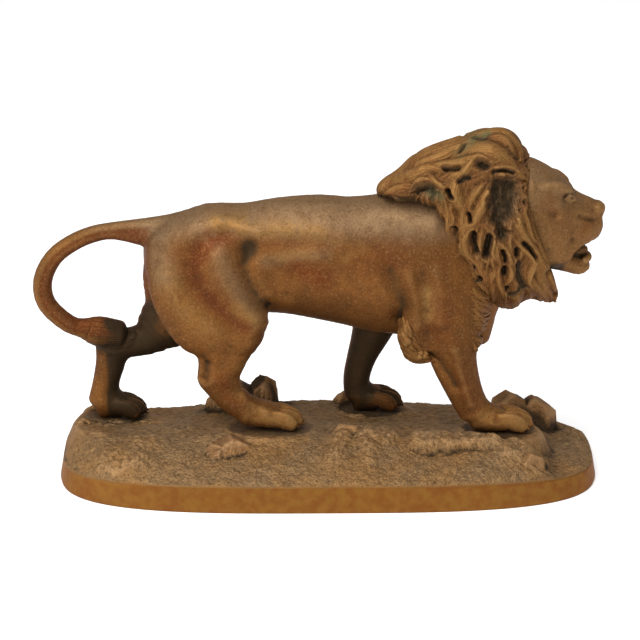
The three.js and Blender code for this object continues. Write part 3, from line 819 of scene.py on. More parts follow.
# Folds and swellings drawn on each side: places (x, z) along it, width, and height if raised
STROKES = {
    RIGHT: [
        # the haunch, thigh and knee
        ([(-27.9, 85.6)], 4.2, -2.4),
        ([(-37.6, 95.2), (-29.6, 93.4), (-25, 92.2)], 3.2, 1.2),
        ([(-36, 91), (-43, 88), (-47, 82), (-46, 75), (-41, 69), (-34, 64)], 4.2, -1.5),
        ([(-56, 76), (-49.8, 66.5), (-41, 60)], 4.6, 1.2),
        ([(-39, 84), (-35, 76), (-31, 68)], 4.6, 1.7),
        ([(-29.5, 81), (-27, 73), (-22.2, 65)], 2.4, -1.5),
        ([(-22.5, 76), (-20, 70), (-15, 66)], 3, 0.75),
        ([(-25.1, 61.7), (-27.5, 51.9)], 3.2, 1),
        ([(-34, 58), (-35, 50), (-38, 44)], 2.6, -0.75),
        # the back and flank
        ([(-22.1, 83), (-8.8, 85.4), (3, 86.2)], 3.6, 0.9),
        ([(-20, 77.5), (-8, 79), (0, 76)], 3.6, -0.68),
        ([(-25, 92.6), (-9.9, 93.2), (4.6, 90.8)], 3.4, 0.68),
        ([(-12, 88.5), (4, 88.6), (18, 86)], 3, -0.52),
        ([(8, 84), (16, 80), (20, 72)], 4, 0.6),
        # the shoulder
        ([(21.5, 79), (23.2, 72.5), (26, 66), (24.6, 60.8)], 3.4, -1.5),
        ([(27.8, 78), (29.6, 70.1), (31.4, 61)], 3, 1.2),
        ([(33.2, 78), (34.4, 66)], 2.6, -0.9),
        ([(37.3, 79), (38.8, 70), (38.3, 62)], 3.4, 1.2),
        # the elbow and forearm
        ([(35.2, 47.7), (38.7, 46.3), (42.3, 41.6), (44.5, 37)], 2, -1),
        ([(44.2, 51), (47.1, 39.6), (50.1, 30)], 2, 0.9),
        # the hock and shank
        ([(-42.4, 45), (-42.8, 42.1), (-43.6, 39.6)], 1.5, -1.4),
        ([(-30.4, 37), (-28.9, 31), (-22, 27.4)], 1.8, 0.75),
    ],
    LEFT: [
        # the haunch and thigh
        ([(-31, 86)], 4.2, -2.1),
        ([(-38, 90), (-46, 87), (-50.6, 80), (-50, 72), (-46, 65)], 4, -1.4),
        ([(-56, 74.1), (-55, 65.5), (-52, 59)], 4.6, 1.2),
        ([(-34, 80), (-32, 72), (-30, 66)], 2.4, -1.4),
        # the back and flank
        ([(-22.1, 82), (-8.8, 84.4), (1.6, 86.2)], 3.6, 0.9),
        ([(-20, 76.5), (-8, 79), (0, 76)], 3.6, -0.68),
        ([(-25, 92.1), (-9.9, 92.7), (4.6, 90.2)], 3.4, 0.68),
        # the shoulder
        ([(8, 76), (10, 70), (10, 62)], 3.2, -1.8),
        ([(18, 78), (17, 70), (16, 62)], 2.8, 1.4),
        ([(24, 78), (22.5, 68)], 2.4, -1),
    ],
}


def on_paw(paw, rows, across, behind):
    """Stations of a toe, claw or gap: ahead of the paw's middle and a share of the way across."""
    x, y, sole, _ = paw
    return [
        [x + ahead - behind, y + share * across, sole + high, *size]
        for ahead, share, high, *size in rows
    ]


def model_body(cell):
    """The clay figure: torso, limbs, paws with toes and claws, tail, then the drawn-in folds."""
    clay = Clay(BODY_LOW, BODY_HIGH, cell)
    clay.add(TORSO, 1)
    for stations, blend in FORMS.values():
        clay.add(stations, blend)
    clay.add(TAIL, 2)
    clay.add(TUFT, 1)
    for paw in PAWS.values():
        for across in TOES_ACROSS:
            clay.add(on_paw(paw, TOE, across, TOES_BEND * across**2), 0.4)
            clay.add(on_paw(paw, CLAW, across, TOES_BEND * across**2), 0.4)
        for across in GAPS_ACROSS:
            clay.cut(on_paw(paw, TOE_GAP, across, 0), 0.8)
    for side, strokes in STROKES.items():
        for places, width, height in strokes:
            clay.stroke(side, places, width, height)
    for x, y, sole, length in PAWS.values():
        clay.level(x - 4, y, sole, length, PAW_HALF_WIDTH)
    return clay.skin()


# Where the patina turns, and where highlights and shade are painted: places (x, z) along a line, reach
# and amount
REDDISH = [
    ([(-35, 90.5), (-41, 89.5), (-46, 84), (-47, 78), (-44, 72), (-38, 66.5)], 3.6, 1),
    ([(-38, 66.5), (-33, 62.5), (-29, 60)], 2.6, 1),
    ([(-11, 80), (-2, 76)], 4, 0.9),
    ([(12, 82), (22, 84)], 7, 0.4),
    ([(-22, 88), (-2, 87)], 2.4, 0.4),
    ([(39, 66), (38, 58)], 5, 0.6),
    ([(-38, 40), (-33, 31)], 3, 0.6),
    ([(47, 40), (52, 28)], 3, 0.5),
]
# Painted highlights in gold on the ridges of the haunch, thigh, knee, back, flank and shoulder, the
# near hind shank and the tops of the near paws
GOLDEN_HIGHLIGHTS = [
    ([(-39, 95), (-30, 94)], 2.8, 1),
    ([(-24, 92.5), (-10, 93), (-3, 92)], 2.8, 0.75),
    ([(0, 91), (11, 87.5)], 2.2, 0.35),
    ([(6, 83.6), (8, 85)], 1.6, 0.5),
    ([(-56, 75), (-50, 66), (-41, 58)], 4.5, 0.5),
    ([(-32, 66), (-25, 62)], 2.6, 0.7),
    ([(34, 72), (35, 64)], 2.4, 0.9),
    ([(-24, 25), (-12, 23)], 4, 0.8),
    ([(56, 24), (68, 22)], 5, 0.7),
    ([(-30, 44), (-31, 34)], 3, 0.5),
    ([(-16, 84), (-6, 85.5)], 2.6, 0.5),
]
GREYISH = [
    ([(-60, 92), (-60, 84), (-58, 77)], 5, 0.8),
    ([(-39, 88), (-36, 80), (-30, 71), (-25, 63)], 3.6, 0.65),
    ([(16, 95), (26, 92)], 7, 0.2),
    ([(-22, 82), (-9, 84.4), (-1, 85.6)], 2.4, 0.55),
]
# Painted shade in the hollow on the flank, in the grooves of the haunch, shoulder and elbow, down the
# back of the hind leg and under the belly
DARKENED = [
    ([(-28, 85.8), (-27.8, 85.2)], 4.2, 0.6),
    ([(-31, 81), (-27.4, 72.4), (-22.2, 64)], 1.8, 0.25),
    ([(22, 78), (23.7, 72.5), (27, 66), (25.6, 60.8)], 2.4, 0.25),
    ([(35, 48), (39, 46), (42.5, 41.6), (44.5, 38)], 1.6, 0.4),
    ([(-40, 60), (-40, 46), (-34, 33)], 7, 0.14),
    ([(-48, 80), (-42, 66)], 8, 0.12),
    ([(-5, 58), (20, 60)], 5, 0.14),
]
# Painted shade on the far hind paw's toes, and at the tips of the near paws' toes
DARKENED_PAWS = {
    LEFT: [([(-75, 22), (-70, 19), (-66, 18)], 4, 0.6)],
    RIGHT: [
        ([(-11.5, 22.5), (-9.5, 20.5)], 1.8, 0.35),
        ([(70, 21.5), (72, 19.5)], 1.8, 0.35),
    ],
}


def patches(points, places, sides=BOTH):
    """The strongest, at each point, of bells of its distance from the lines: exp(-(d/reach)^2)."""
    total = np.zeros(len(points))
    for line, reach, amount in places:
        for side in sides:
            away = away_from(line, points[:, 0], points[:, 2]) / reach**2
            near = amount * np.exp(-away) * (points[:, 1] * side > 0)
            total = np.maximum(total, near)
    return total


BRONZE_ROUGHNESS = 0.46
DARK_BRONZE = (0.118, 0.045, 0.012)
WARM_BRONZE = (0.176, 0.068, 0.017)
DULL_GREY = (0.195, 0.124, 0.066)
DEEP_RED = (0.115, 0.024, 0.007)
GOLD_AND_HIGHLIGHT = (0.32, 0.165, 0.048)
BROWN_STAIN = (0.075, 0.035, 0.013)
STIPPLE_LIGHT = (0.34, 0.19, 0.075)
STIPPLE_DARK = (0.06, 0.026, 0.009)
STRAND_GROOVE = (0.055, 0.026, 0.010)
VERDIGRIS_GREEN = (0.085, 0.090, 0.040)
SHADE_BLACK = (0.026, 0.019, 0.011)
EDGE_HIGHLIGHT = (0.36, 0.20, 0.075)


def bronze_finish(name, piece):
    """Golden brown patina: stippled, redder in patches, painted shade near black in hollows, painted
    highlights.
    """
    paint = Finish(name)
    names = ("hollow", "red", "gold", "dull", "green", "comb")
    hollow, red, gold, dull, green, comb = (paint.mark(name) for name in names)
    strands = comb.math("SINE", comb)
    cloud = paint.noise(22, 3.0)
    mottle = paint.noise(3.4, 5.0)
    stipple = paint.noise(0.75, 3.0)
    brown = paint.mix(cloud.between(0.35, 0.65), DARK_BRONZE, WARM_BRONZE)
    for amount, colour in (
        (dull * 0.8, DULL_GREY),
        (red * mottle.between(0.2, 0.55) * 0.9, DEEP_RED),
        # Gold: an even tone on the head and hair, and painted highlights on the body's ridges and the
        # mane's crests
        (gold * mottle.between(0.25, 0.6) * 0.85, GOLD_AND_HIGHLIGHT),
        (mottle.between(0.4, 0.75) * 0.4, BROWN_STAIN),
        (stipple.between(0.5, 0.75) * 0.28, STIPPLE_LIGHT),
        (stipple.between(0.5, 0.28) * 0.4, STIPPLE_DARK),
        (strands.between(0.2, 1.0) * 0.22, STRAND_GROOVE),
        (green * mottle.between(0.3, 0.6), VERDIGRIS_GREEN),
        # Painted shade, near black, in the hollows, creases, undersides and between the legs; a painted
        # highlight on the edges
        (hollow.between(0.05, 0.95) * 0.9, SHADE_BLACK),
        ((-hollow).between(0.1, 0.9) * 0.4, EDGE_HIGHLIGHT),
    ):
        brown = paint.mix(amount, brown, colour)
    bump = paint.relief(stipple, 0.25, 0.6)
    bump = paint.relief(strands, -0.1, 0.5, bump)
    paint.dress(piece, brown, mottle * ROUGHNESS_CHANGE + BRONZE_ROUGHNESS, bump)


BODY_CELL = 0.46 if FINE else 0.8
BODY_FACES = 97000
LOOP_MIDDLE = (-79, 0, 70)
TUFT_MIDDLE = (-78.5, 9.5, 47.5)
TUFT_SIZE = (8.5, 6.5, 7)

body_points, body_faces = model_body(BODY_CELL)
body_hollow = hollowness(body_points, body_faces, BODY_CELL)
body_out = normals_of(body_points, body_faces)
body_x, body_y, body_z = body_points.T
# Shade: on the sides that the legs turn to each other, but for the left hock, and on the belly
medial = smooth(0.2, -0.6, body_out[:, 1] * np.sign(body_y))
medial = medial * smooth(66, 56, body_z) * smooth(4, 7, np.abs(body_y))
medial = medial * (1 - 0.8 * smooth(-78, -80.5, body_x))
underside = smooth(-0.3, -0.95, body_out[:, 2])
darkened = patches(body_points, DARKENED)
for side, places in DARKENED_PAWS.items():
    darkened = np.maximum(darkened, patches(body_points, places, [side]))
# The tail: reddish inside its loop, with a line of painted shade where that begins, and a darker combed
# tuft
tail_part = smooth(-60, -66, body_x) * smooth(46, 49, body_z)
outward = (body_points - LOOP_MIDDLE) * [1, 0, 1]
outward /= np.linalg.norm(outward, axis=1, keepdims=True)
tail_turn = (outward * body_out).sum(1)
tail_inner = tail_part * smooth(0.35, 0.1, tail_turn)
tail_line = tail_part * np.exp(-(((tail_turn - 0.15) / 0.13) ** 2))
tuft = np.linalg.norm((body_points - TUFT_MIDDLE) / TUFT_SIZE, axis=1)
tuft_turn = np.arctan2(body_y - TUFT_MIDDLE[1], body_z - TUFT_MIDDLE[2])
tuft_comb = np.where(tuft < 1.15, 30 * tuft_turn + 0.5 * body_x, 0)
body_shade = 1.1 * medial + 0.4 * underside + darkened
body_shade = body_shade + 0.45 * tail_line + 0.6 * smooth(1.15, 0.85, tuft)
body = cast(
    "lion_body",
    body_points,
    body_faces,
    hollow=np.clip(body_hollow + body_shade, -1, 1),
    red=np.clip(patches(body_points, REDDISH) + 0.8 * tail_inner, 0, 1),
    gold=patches(body_points, GOLDEN_HIGHLIGHTS),
    dull=np.clip(smooth(86, 96, body_z) + patches(body_points, GREYISH), 0, 1),
    comb=tuft_comb,
)
thinner = body.modifiers.new("fewer_faces", "DECIMATE")
thinner.ratio = min(1, BODY_FACES / len(body_faces))
bronze_finish("body_bronze", body)
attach(body, "root")
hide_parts("lion")

# The head: part of the same bronze casting, modelled with the body but worked finer. It has a
# broad flat-bridged nose, whisker pads, an open jaw, and heavy brows over small lidded eyes.

HEAD_LOW, HEAD_HIGH = (56, -18, 66), (101, 18, 122)

HEAD_FORMS = {
    "skull_and_muzzle": ([[60, 0, 102, 13, 11], [66, 0, 103.6, 12.4, 11.4],
                          [73, 0, 99.8, 12.4, 11.8], [81.8, 0, 93.9, 10.2, 9],
                          [89, 0, 91.8, 8.6, 6.6], [92.6, 0, 92, 6.4, 5.2]], 1),
    "nose_bridge": ([[80, 0, 101.7, 3.4, 4], [84, 0, 99.8, 3.2, 3.9], [91, 0, 97.2, 3.2, 3.3],
                     [95, 0, 96.2, 2.7, 3.3]], 2.4),
    "nose_tip": ([[94.6, 0, 97.0, 2.3, 3.7], [96.1, 0, 96.4, 1.9, 3.2]], 1.2),
    "upper_lip_front": ([[93, 0, 91.4, 3.5, 3.6], [91.8, 0, 88.6, 3.4, 4.2]], 2),
}
JAW_FORMS = {
    "lower_jaw": ([[72, 0, 81.5, 6, 8], [79, 0, 79.2, 4.4, 7.2], [85, 0, 77.4, 4, 5.8],
                   [88.6, 0, 75.9, 3.5, 4.6], [90.8, 0, 76.4, 2.7, 3.4]], 0.8),
    "tongue": ([[84, 0, 80.6, 2.8, 3.4], [88.4, 0, 81.4, 2.6, 3], [90.6, 0, 81, 1.8, 2]], 0.8),
    "lower_lip_front": ([[90.4, -3.6, 78.6, 1.2], [91.6, -1.8, 79, 1.4], [91.6, 1.8, 79, 1.4],
                         [90.4, 3.6, 78.6, 1.2]], 0.8),
}
JAW_SIDE = [[75, 8, 81.4, 4, 3], [80, 7.6, 81, 3.2, 2.4], [84, 6.8, 81, 2.2, 1.8]]
JAW_SIDE_BLEND = 2.5
HEAD_PAIRS = {
    "brow_to_nose": ([[70, 7.5, 104.5, 5, 5], [77, 6.4, 102.8, 4.6, 4.6], [82, 4.8, 100.4, 3.6, 4],
                      [89, 3.4, 95.6, 3, 3.2]], 2),
    "brow_ridge": ([[75, 8.8, 105.8, 2.2], [79, 8, 106.4, 2.2], [82.4, 6.8, 105.2, 1.7],
                    [84.8, 5, 103.2, 1.1]], 1.8),
    "cheek": ([[74, 8, 98, 7, 4], [77, 8.6, 90, 8, 3.6], [79.5, 7.4, 83.5, 5, 3.2]], 3),
    "whisker_pad": ([[84.5, 4.6, 91.5, 4.8, 3.4], [89.2, 4.4, 90, 4.4, 3.6],
                     [91.4, 3.2, 89.2, 3.7, 3.1]], 1.5),
    "cheekbone": ([[79, 6.8, 98, 3.2, 3.2], [85, 5.6, 94.5, 3, 2.6]], 2.5),
    "brow_fold": ([[76.6, 8.6, 106.8, 1.6], [80.4, 8.2, 106.6, 1.7], [83.4, 7, 105, 1.3]], 1.5),
    "upper_lip": ([[80.6, 7.4, 84.2, 4, 2.4], [84.4, 6.4, 84.6, 3, 2.3], [87.6, 5, 86, 2.4, 2.1],
                   [90.6, 3.6, 86.8, 1.8, 1.9]], 1.2),
}
MOUTH = [
    [98, 0, 83.6, 2.4, 9],
    [92.6, 0, 82.4, 2.3, 9],
    [89.4, 0, 81.4, 1.8, 9],
    [86.4, 0, 79.8, 0.6, 9],
]
LIP_GROOVE = [[98.6, 0, 94.6, 0.5], [97.2, 0, 91, 0.5], [96, 0, 87.6, 0.5]]
HEAD_CUTS = {
    "nostril": ([[98, 1.6, 95.2, 0.5], [97, 2.9, 95.4, 0.8], [95, 4.1, 94.8, 0.5]], 0.7),
    "nose_fold": ([[95.4, 4.4, 93.6, 0.4], [91, 6, 94.4, 0.5], [88, 7.4, 96, 0.4]], 1.6),
    "whisker_pad_edge": ([[90.6, 9.2, 92.8, 1.0], [88, 9.4, 92.4, 0.8]], 2.2),
    "jaw_edge": ([[86.6, 7.4, 79.8, 0.5], [83.6, 8.4, 78.4, 0.6], [80, 9.6, 77, 0.5]], 1.2),
    "temple": ([[75, 13.6, 101.4, 0.8], [79, 11.6, 97.6, 0.8]], 3),
}
EYE = (84.4, 102.7)


def mirrored(side, stations):
    """Stations on the right or the left of the middle."""
    return [[x, side * y, z, *size] for x, y, z, *size in stations]


def model_eye(clay, side):
    """A shallow socket under the brow, the ball in it, and two lids as thin rolls over it."""
    x, z = EYE
    low = (x - 0.5, min(0, 14 * side), z - 0.5)
    part, _, ys, _ = clay.block(low, (x + 0.5, max(0, 14 * side), z + 0.5))
    y = np.abs(ys.ravel()[(clay.field[part] < 0).any(axis=(0, 2))]).max()
    clay.cut(mirrored(side, [[x - 1, y + 0.9, z + 0.1, 1.2], [x + 1.2, y + 0.4, z - 0.4, 1.1]]), 2)
    clay.add(mirrored(side, [[x - 0.4, y - 1.2, z - 0.1, 1.15], [x + 0.4, y - 1.3, z - 0.2, 1.1]]), 0.2)
    upper = [
        [x - 1.8, y, z - 0.3, 0.2],
        [x - 0.9, y - 0.15, z + 0.65, 0.34],
        [x + 0.3, y - 0.3, z + 0.85, 0.36],
        [x + 1.3, y - 0.6, z + 0.2, 0.3],
        [x + 1.9, y - 0.9, z - 0.8, 0.2],
    ]
    lower = [
        [x - 1.8, y, z - 0.4, 0.2],
        [x - 0.5, y - 0.2, z - 1.1, 0.26],
        [x + 0.8, y - 0.5, z - 1.3, 0.26],
        [x + 1.9, y - 0.9, z - 0.9, 0.2],
    ]
    clay.add(mirrored(side, upper), 0.4)
    clay.add(mirrored(side, lower), 0.5)


def model_head(cell):
    """The clay head: skull, nose, jaw, then each paired form on both sides, and the openings."""
    clay = Clay(HEAD_LOW, HEAD_HIGH, cell)
    for stations, blend in HEAD_FORMS.values():
        clay.add(stations, blend)
    for side in BOTH:
        for stations, blend in HEAD_PAIRS.values():
            clay.add(mirrored(side, stations), blend)
        model_eye(clay, side)
    clay.cut(MOUTH, 0.6)
    for stations, blend in JAW_FORMS.values():
        clay.add(stations, blend)
    for side in BOTH:
        clay.add(mirrored(side, JAW_SIDE), JAW_SIDE_BLEND)
    for side in BOTH:
        for stations, blend in HEAD_CUTS.values():
            clay.cut(mirrored(side, stations), blend)
    clay.cut(LIP_GROOVE, 0.9)
    return clay.skin()


# Painted shade: a line under the brow over each eye, the crease from nose to mouth, the mouth's corner,
# and under the cheek
FACE_DARKENED = [
    ([(83.4, 104.2), (85, 104.1), (86.4, 102.8)], 0.5, 0.5),
    ([(94, 94), (90.5, 93), (88, 89.5)], 0.9, 0.3),
    ([(87, 84), (84, 81.5), (81, 79)], 1.6, 0.3),
    ([(76, 84), (79, 79), (81, 76)], 3, 0.5),
]
FACE_REDDISH = [
    ([(77, 103), (78.5, 99)], 3.4, 0.8),
    ([(79, 97), (82, 92)], 4, 0.5),
    ([(91, 92.5), (89.6, 90)], 2.6, 0.9),
    ([(86, 80), (89, 76)], 3, 0.5),
]
MOUTH_MIDDLE = (88.4, 0, 81.8)
MOUTH_SIZE = (3.4, 4.6, 2.8)
HEAD_CELL = 0.33 if FINE else 0.5

head_points, head_faces = model_head(HEAD_CELL)
head_x, head_y, head_z = head_points.T
head_hollow = hollowness(head_points, head_faces, HEAD_CELL, 1.6, 0.4)
# A dark pupil in each eye, and painted shade inside the open mouth and under the jaw
pupil = np.hypot(head_x - EYE[0] - 0.6, head_z - EYE[1])
pupil = 0.9 * smooth(0.8, 0.5, pupil) * (np.abs(head_y) > 4)
mouth = np.abs(head_points - MOUTH_MIDDLE) / MOUTH_SIZE
mouth = smooth(1.15, 0.8, (mouth**4).sum(1) ** 0.25)
under_jaw = smooth(-0.2, -0.8, normals_of(head_points, head_faces)[:, 2])
under_jaw = under_jaw * smooth(86, 80, head_x) * smooth(86, 80, head_z)
head_hollow = head_hollow + patches(head_points, FACE_DARKENED)
head_hollow = np.clip(head_hollow + pupil + 0.8 * mouth + 0.7 * under_jaw, -1, 1)
head = cast(
    "lion_head",
    head_points,
    head_faces,
    hollow=head_hollow,
    red=patches(head_points, FACE_REDDISH) * 0.7,
    dull=0.35 + smooth(97, 104, head_z) * 0.5,
    gold=np.full(len(head_points), 0.25),
)
bronze_finish("head_bronze", head)
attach(head, "root")
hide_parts("lion")

# The mane: part of the same bronze casting. Its maker laid locks over a thick collar of clay round
# the head and cut in with a wire tool, so that the crests stand clear and the hollows go deep.

# The collar's rings, from u = -1 under the face's edge to u = 7 under the shoulder's skin: each
# goes from the crown (v = 0) down the right side to the throat (v = 5), as [x, half width, z]
MANE_RINGS = np.array([
    [[65, 0, 108], [66, 7, 104], [67, 8, 99],
     [69, 8.5, 92], [72, 7, 82], [75, 0, 76]],
    [[71, 0, 111.5], [69.5, 9.5, 108.5], [70, 11.5, 101],
     [72, 11.5, 91], [76, 9.5, 80], [78.5, 0, 72.5]],
    [[67.6, 0, 120.8], [66.2, 12.8, 114.2], [67.6, 15.8, 103],
     [71.4, 16.2, 89], [77.2, 11, 74], [82, 0, 61]],
    [[58.5, 0, 125.1], [56, 14.6, 118.4], [58.4, 18.6, 104],
     [62, 19.6, 88], [69.5, 15, 71], [71.5, 0, 63.4]],
    [[43, 0, 120.2], [44, 15, 113.6], [49, 18.4, 103],
     [54, 19.8, 87], [62, 15.8, 69.6], [65.6, 0, 59.4]],
    [[31.4, 0, 116], [34, 14, 110], [42, 17, 102],
     [49.4, 18.8, 87.5], [57.6, 15.8, 69.4], [61.5, 0, 58.6]],
    [[25.4, 0, 109], [28.4, 12.6, 107], [38.4, 15.6, 102.4],
     [47, 18.2, 87.8], [55.2, 15.8, 70.4], [59.4, 0, 59.8]],
    [[17.8, 0, 104.6], [21.8, 10.6, 104.4], [35, 14, 102.4],
     [45, 17.2, 88], [53.6, 15.6, 71.4], [57.6, 0, 58.6]],
    [[17, 0, 97], [24.5, 3, 98], [37, 6.5, 94],
     [42, 11, 80], [48, 10.5, 65], [52, 0, 57]],
], float)
# The locks' crests, where the photo shows them in the lion's middle plane: places (x, z) along
# each, half width, and height in mm
LOCKS = [
    ([(68.5, 115), (67.5, 118.5), (64, 122.5), (60, 125.5), (55, 124.5), (49.5, 122),
      (44, 119.5)], 3.3, 1.9),
    ([(65.5, 117), (63.5, 120.5), (60.5, 123), (56, 123.5)], 2.7, 1.6),
    ([(67, 110.5), (63, 114.5), (59, 117.5), (54, 119), (49.5, 118.5), (45.5, 116.5)], 4.5, 2.4),
    ([(56.5, 115), (53.5, 116), (50, 115), (46, 113.8), (41, 113), (36, 112.4), (31, 109)], 3.2, 1.9),
    ([(55.5, 121.5), (52, 120), (49, 119), (44, 118.5), (40.5, 116.5), (36.5, 115), (32, 113.5),
      (30, 111.5)], 3, 2.5),
    ([(54, 124.5), (49.5, 123), (45, 121.5), (40, 120), (35, 118), (31, 116), (28.5, 113)], 3.3, 1.6),
    ([(39.5, 111.5), (35, 112), (31, 110), (26.5, 108), (22, 107), (19, 105), (17.5, 102.5)], 3.6, 2.7),
    ([(37, 107), (34, 107.5), (31.5, 107), (29.5, 104.5), (28.5, 103)], 2, 1.9),
    ([(28.5, 106.5), (25, 105), (21.5, 103.5), (19, 101.5)], 2.5, 1.6),
    ([(34, 111), (36, 108.5), (38, 106), (40.5, 104.5), (42.5, 104.5)], 1.7, 1.7),
    ([(55.5, 118), (52, 115.5), (49.5, 112.5), (47.5, 110), (46, 107.5), (44, 105.5)], 2.4, 2.2),
    ([(46, 108), (44.5, 105), (44.5, 101.5), (45.5, 99), (47, 96)], 3.6, 2.4),
    ([(55, 105.5), (52.5, 103), (50.5, 100), (49.5, 96.5)], 2, 1.9),
    ([(57.5, 107.5), (57.5, 104.5), (55.5, 100.5), (54, 97), (52, 92.5), (50.5, 90)], 2.7, 2.5),
    ([(57.5, 108.5), (60.5, 109), (63.5, 108.5), (66, 107), (67.5, 105)], 1.8, 1.7),
    ([(58, 111.5), (60.5, 111.5), (63.5, 111.5), (66, 110.5), (68.5, 109)], 2.2, 2.1),
    ([(67.5, 109), (69, 109.5), (71, 109), (72.5, 107.5)], 1.4, 1.4),
    ([(69, 106), (71, 105.5), (72, 106.5), (72.5, 108)], 1.2, 1.3),
    ([(67.5, 106), (69, 104.5), (71, 104)], 1.2, 1.3),
    ([(67.5, 102.5), (69, 101.5), (70, 99), (70, 97.5)], 1.4, 1.4),
    ([(67.5, 103), (66.5, 99), (66.5, 95), (67.5, 90.5), (69.5, 86.5), (72, 82.5),
      (73.5, 78)], 2.2, 2.1),
    ([(71, 99), (69.5, 95), (70.5, 91.5), (71.5, 87.5), (73, 85), (75.5, 83.5)], 1.8, 1.7),
    ([(71.5, 97), (73, 92), (73.5, 88), (75, 85), (76.5, 81.5), (77.5, 77), (78, 73), (80, 68.5),
      (81.5, 65.5), (81, 62)], 2, 1.9),
    ([(67, 90.5), (69, 86.5), (72, 82.5), (74.5, 79.5), (76, 75.5), (76.5, 71.5),
      (78.5, 68)], 2.7, 1.6),
    ([(65, 86.5), (68, 82.5), (72, 79), (73.5, 76), (72, 72.5), (71.5, 69), (73.5, 66)], 2.1, 2),
    ([(59.5, 92), (60, 90), (58.5, 88.5), (58.5, 85), (58, 81), (59, 78), (60.5, 76)], 1.7, 1.7),
    ([(60.5, 85), (61.5, 83), (63.5, 80.5), (64.5, 77.5), (66, 75)], 1.8, 1.7),
    ([(54.5, 89.5), (54, 86.5), (53.5, 83), (54, 79.5), (55.5, 77), (57.5, 76)], 1.5, 1.5),
    ([(53, 90.5), (50.5, 88.5), (48, 85.5), (48, 83), (49, 79.5), (51.5, 77), (53, 74)], 1.8, 1.7),
    ([(46.5, 88.5), (46.5, 85.5), (46.5, 82.5), (48.5, 78.5), (50.5, 75.5)], 1.4, 1.4),
    ([(39.5, 103), (41, 99), (42, 94.5), (42, 90.5), (42, 87), (43.5, 83), (46.5, 78.5),
      (49.5, 73.5), (52.5, 69.5)], 1.8, 1.7),
    ([(43, 96.5), (44, 93), (43.5, 90), (44.5, 87.5)], 1.4, 1.4),
    ([(52, 95), (50, 95.5), (49, 93.5), (49, 90.5), (51, 91), (53, 92.5)], 1.2, 1.3),
    ([(59.5, 74), (58.5, 71), (57, 68)], 1.4, 1.4),
    ([(64, 75.5), (65, 73.5), (65, 70.5), (63.5, 68.5)], 1.7, 1.6),
    ([(61, 75.5), (60.5, 72.5), (60.5, 69), (61.5, 66), (62.5, 62.5)], 1.5, 1.5),
    ([(75.5, 76.5), (75, 72.5), (76.5, 68.5), (78.5, 65), (80, 62.5)], 2.2, 1.4),
    ([(72.5, 71.5), (73.5, 68.5), (76, 65), (78.5, 62.5)], 2, 1.4),
    ([(50.5, 73.5), (52.5, 70), (55, 66.5), (56.5, 63.5)], 1.8, 1.4),
    ([(54, 74), (55.5, 71), (55.5, 68)], 2.5, 0.97),
    ([(66.5, 66), (67, 63), (66, 60.5)], 2.4, 1.3),
    ([(68, 77.5), (67, 73.5), (67, 70), (66, 66.5)], 2.1, 1.1),
    ([(42, 109.5), (45, 109), (47.5, 110.5)], 2.1, 1.9),
    ([(48.5, 99), (47.5, 95), (47, 91), (47.5, 87), (49, 85)], 2, 1.5),
    ([(48.5, 94), (47, 91.5), (49, 90), (52.5, 91)], 1.4, 1.4),
]
# Hollows between the locks in the same way: places along each, reach, and depth in mm
HOLLOWS = [
    ([(31, 103.5), (33, 104), (35, 103.5)], 2.2, 3.6),
    ([(35, 103), (36.5, 101.5)], 2, 1.2),
    ([(42, 103), (43, 100.5)], 0.8, 2.4),
    ([(40.5, 111.5), (45.5, 111.5)], 0.8, 2),
    ([(53, 113.5), (55, 112.5)], 1.6, 2.4),
    ([(46.2, 106.6), (47.6, 107.8), (49, 108)], 0.8, 1.1),
    ([(49.5, 94.5), (50, 92)], 0.6, 1.8),
    ([(61, 103), (60.5, 98), (61, 93)], 4, 4.8),
    ([(64.5, 104.5), (65, 101), (64, 96)], 3.4, 4),
    ([(61, 89.5), (62, 86)], 1.8, 3.6),
    ([(44.2, 88.5), (44.2, 86.4), (45.2, 84)], 1.1, 3),
    ([(51.2, 87), (51, 84), (52.4, 80.5)], 1.2, 3),
    ([(56.9, 85.5), (56.2, 82.4), (55.6, 79)], 1.3, 3.2),
    ([(62, 80.5), (62.8, 78.6), (63, 77)], 0.7, 2.2),
    ([(67, 81), (67, 79)], 0.8, 2.4),
    ([(68, 75.5), (68, 71.5), (69.5, 67.5)], 1.3, 1.6),
    ([(62.5, 74), (62.5, 71.5)], 0.85, 2.4),
    ([(55, 123), (51, 122.5)], 0.7, 1.4),
    ([(48.5, 119.8), (46.4, 117.6)], 0.9, 0.5),
    ([(63, 119), (65, 116.5), (67.5, 115)], 0.45, 1.4),
    ([(63, 116.5), (63.5, 116)], 0.5, 1.4),
    ([(58, 110.2), (62, 110.6), (65, 109.8)], 0.6, 0.9),
    ([(69, 108.5), (69.5, 108)], 0.5, 1.6),
    ([(70.5, 106.5), (71, 106.5)], 0.5, 1.6),
    ([(69, 104.5), (69, 104)], 0.5, 1.4),
    ([(69.5, 99.5), (70, 98.5)], 0.5, 1.4),
    ([(69.5, 83.5), (71.8, 81.2), (73.5, 78)], 0.7, 1.4),
    ([(51.5, 75), (51.5, 74)], 0.6, 1.4),
    ([(53.5, 71), (54, 70.5)], 0.6, 1.2),
    ([(63.5, 67), (63.5, 66)], 0.6, 1.4),
    ([(65, 63.5), (67.5, 65), (70.5, 66.5)], 1.2, 1.2),
]
# Verdigris in streaks on the crown
VERDIGRIS = [([(56, 123.5), (51, 122), (48, 119.5), (46, 116.5)], 1.6), ([(36, 103), (39, 101)], 2)]
VIEWPOINT = (-16, -1041, 410)
STRAND_GAP = 0.85
PATH_STEPS = 12
PATH_ROUNDS = 12
LOCK_CREASE = 0.5
SMALL_LOCKS = 300
LEFT_STRAY = 0.6
MANE_DEPTH = 1
HIDDEN_DEPTH = 1.2
FINE_MANE = (420, 230)
QUICK_MANE = (280, 150)


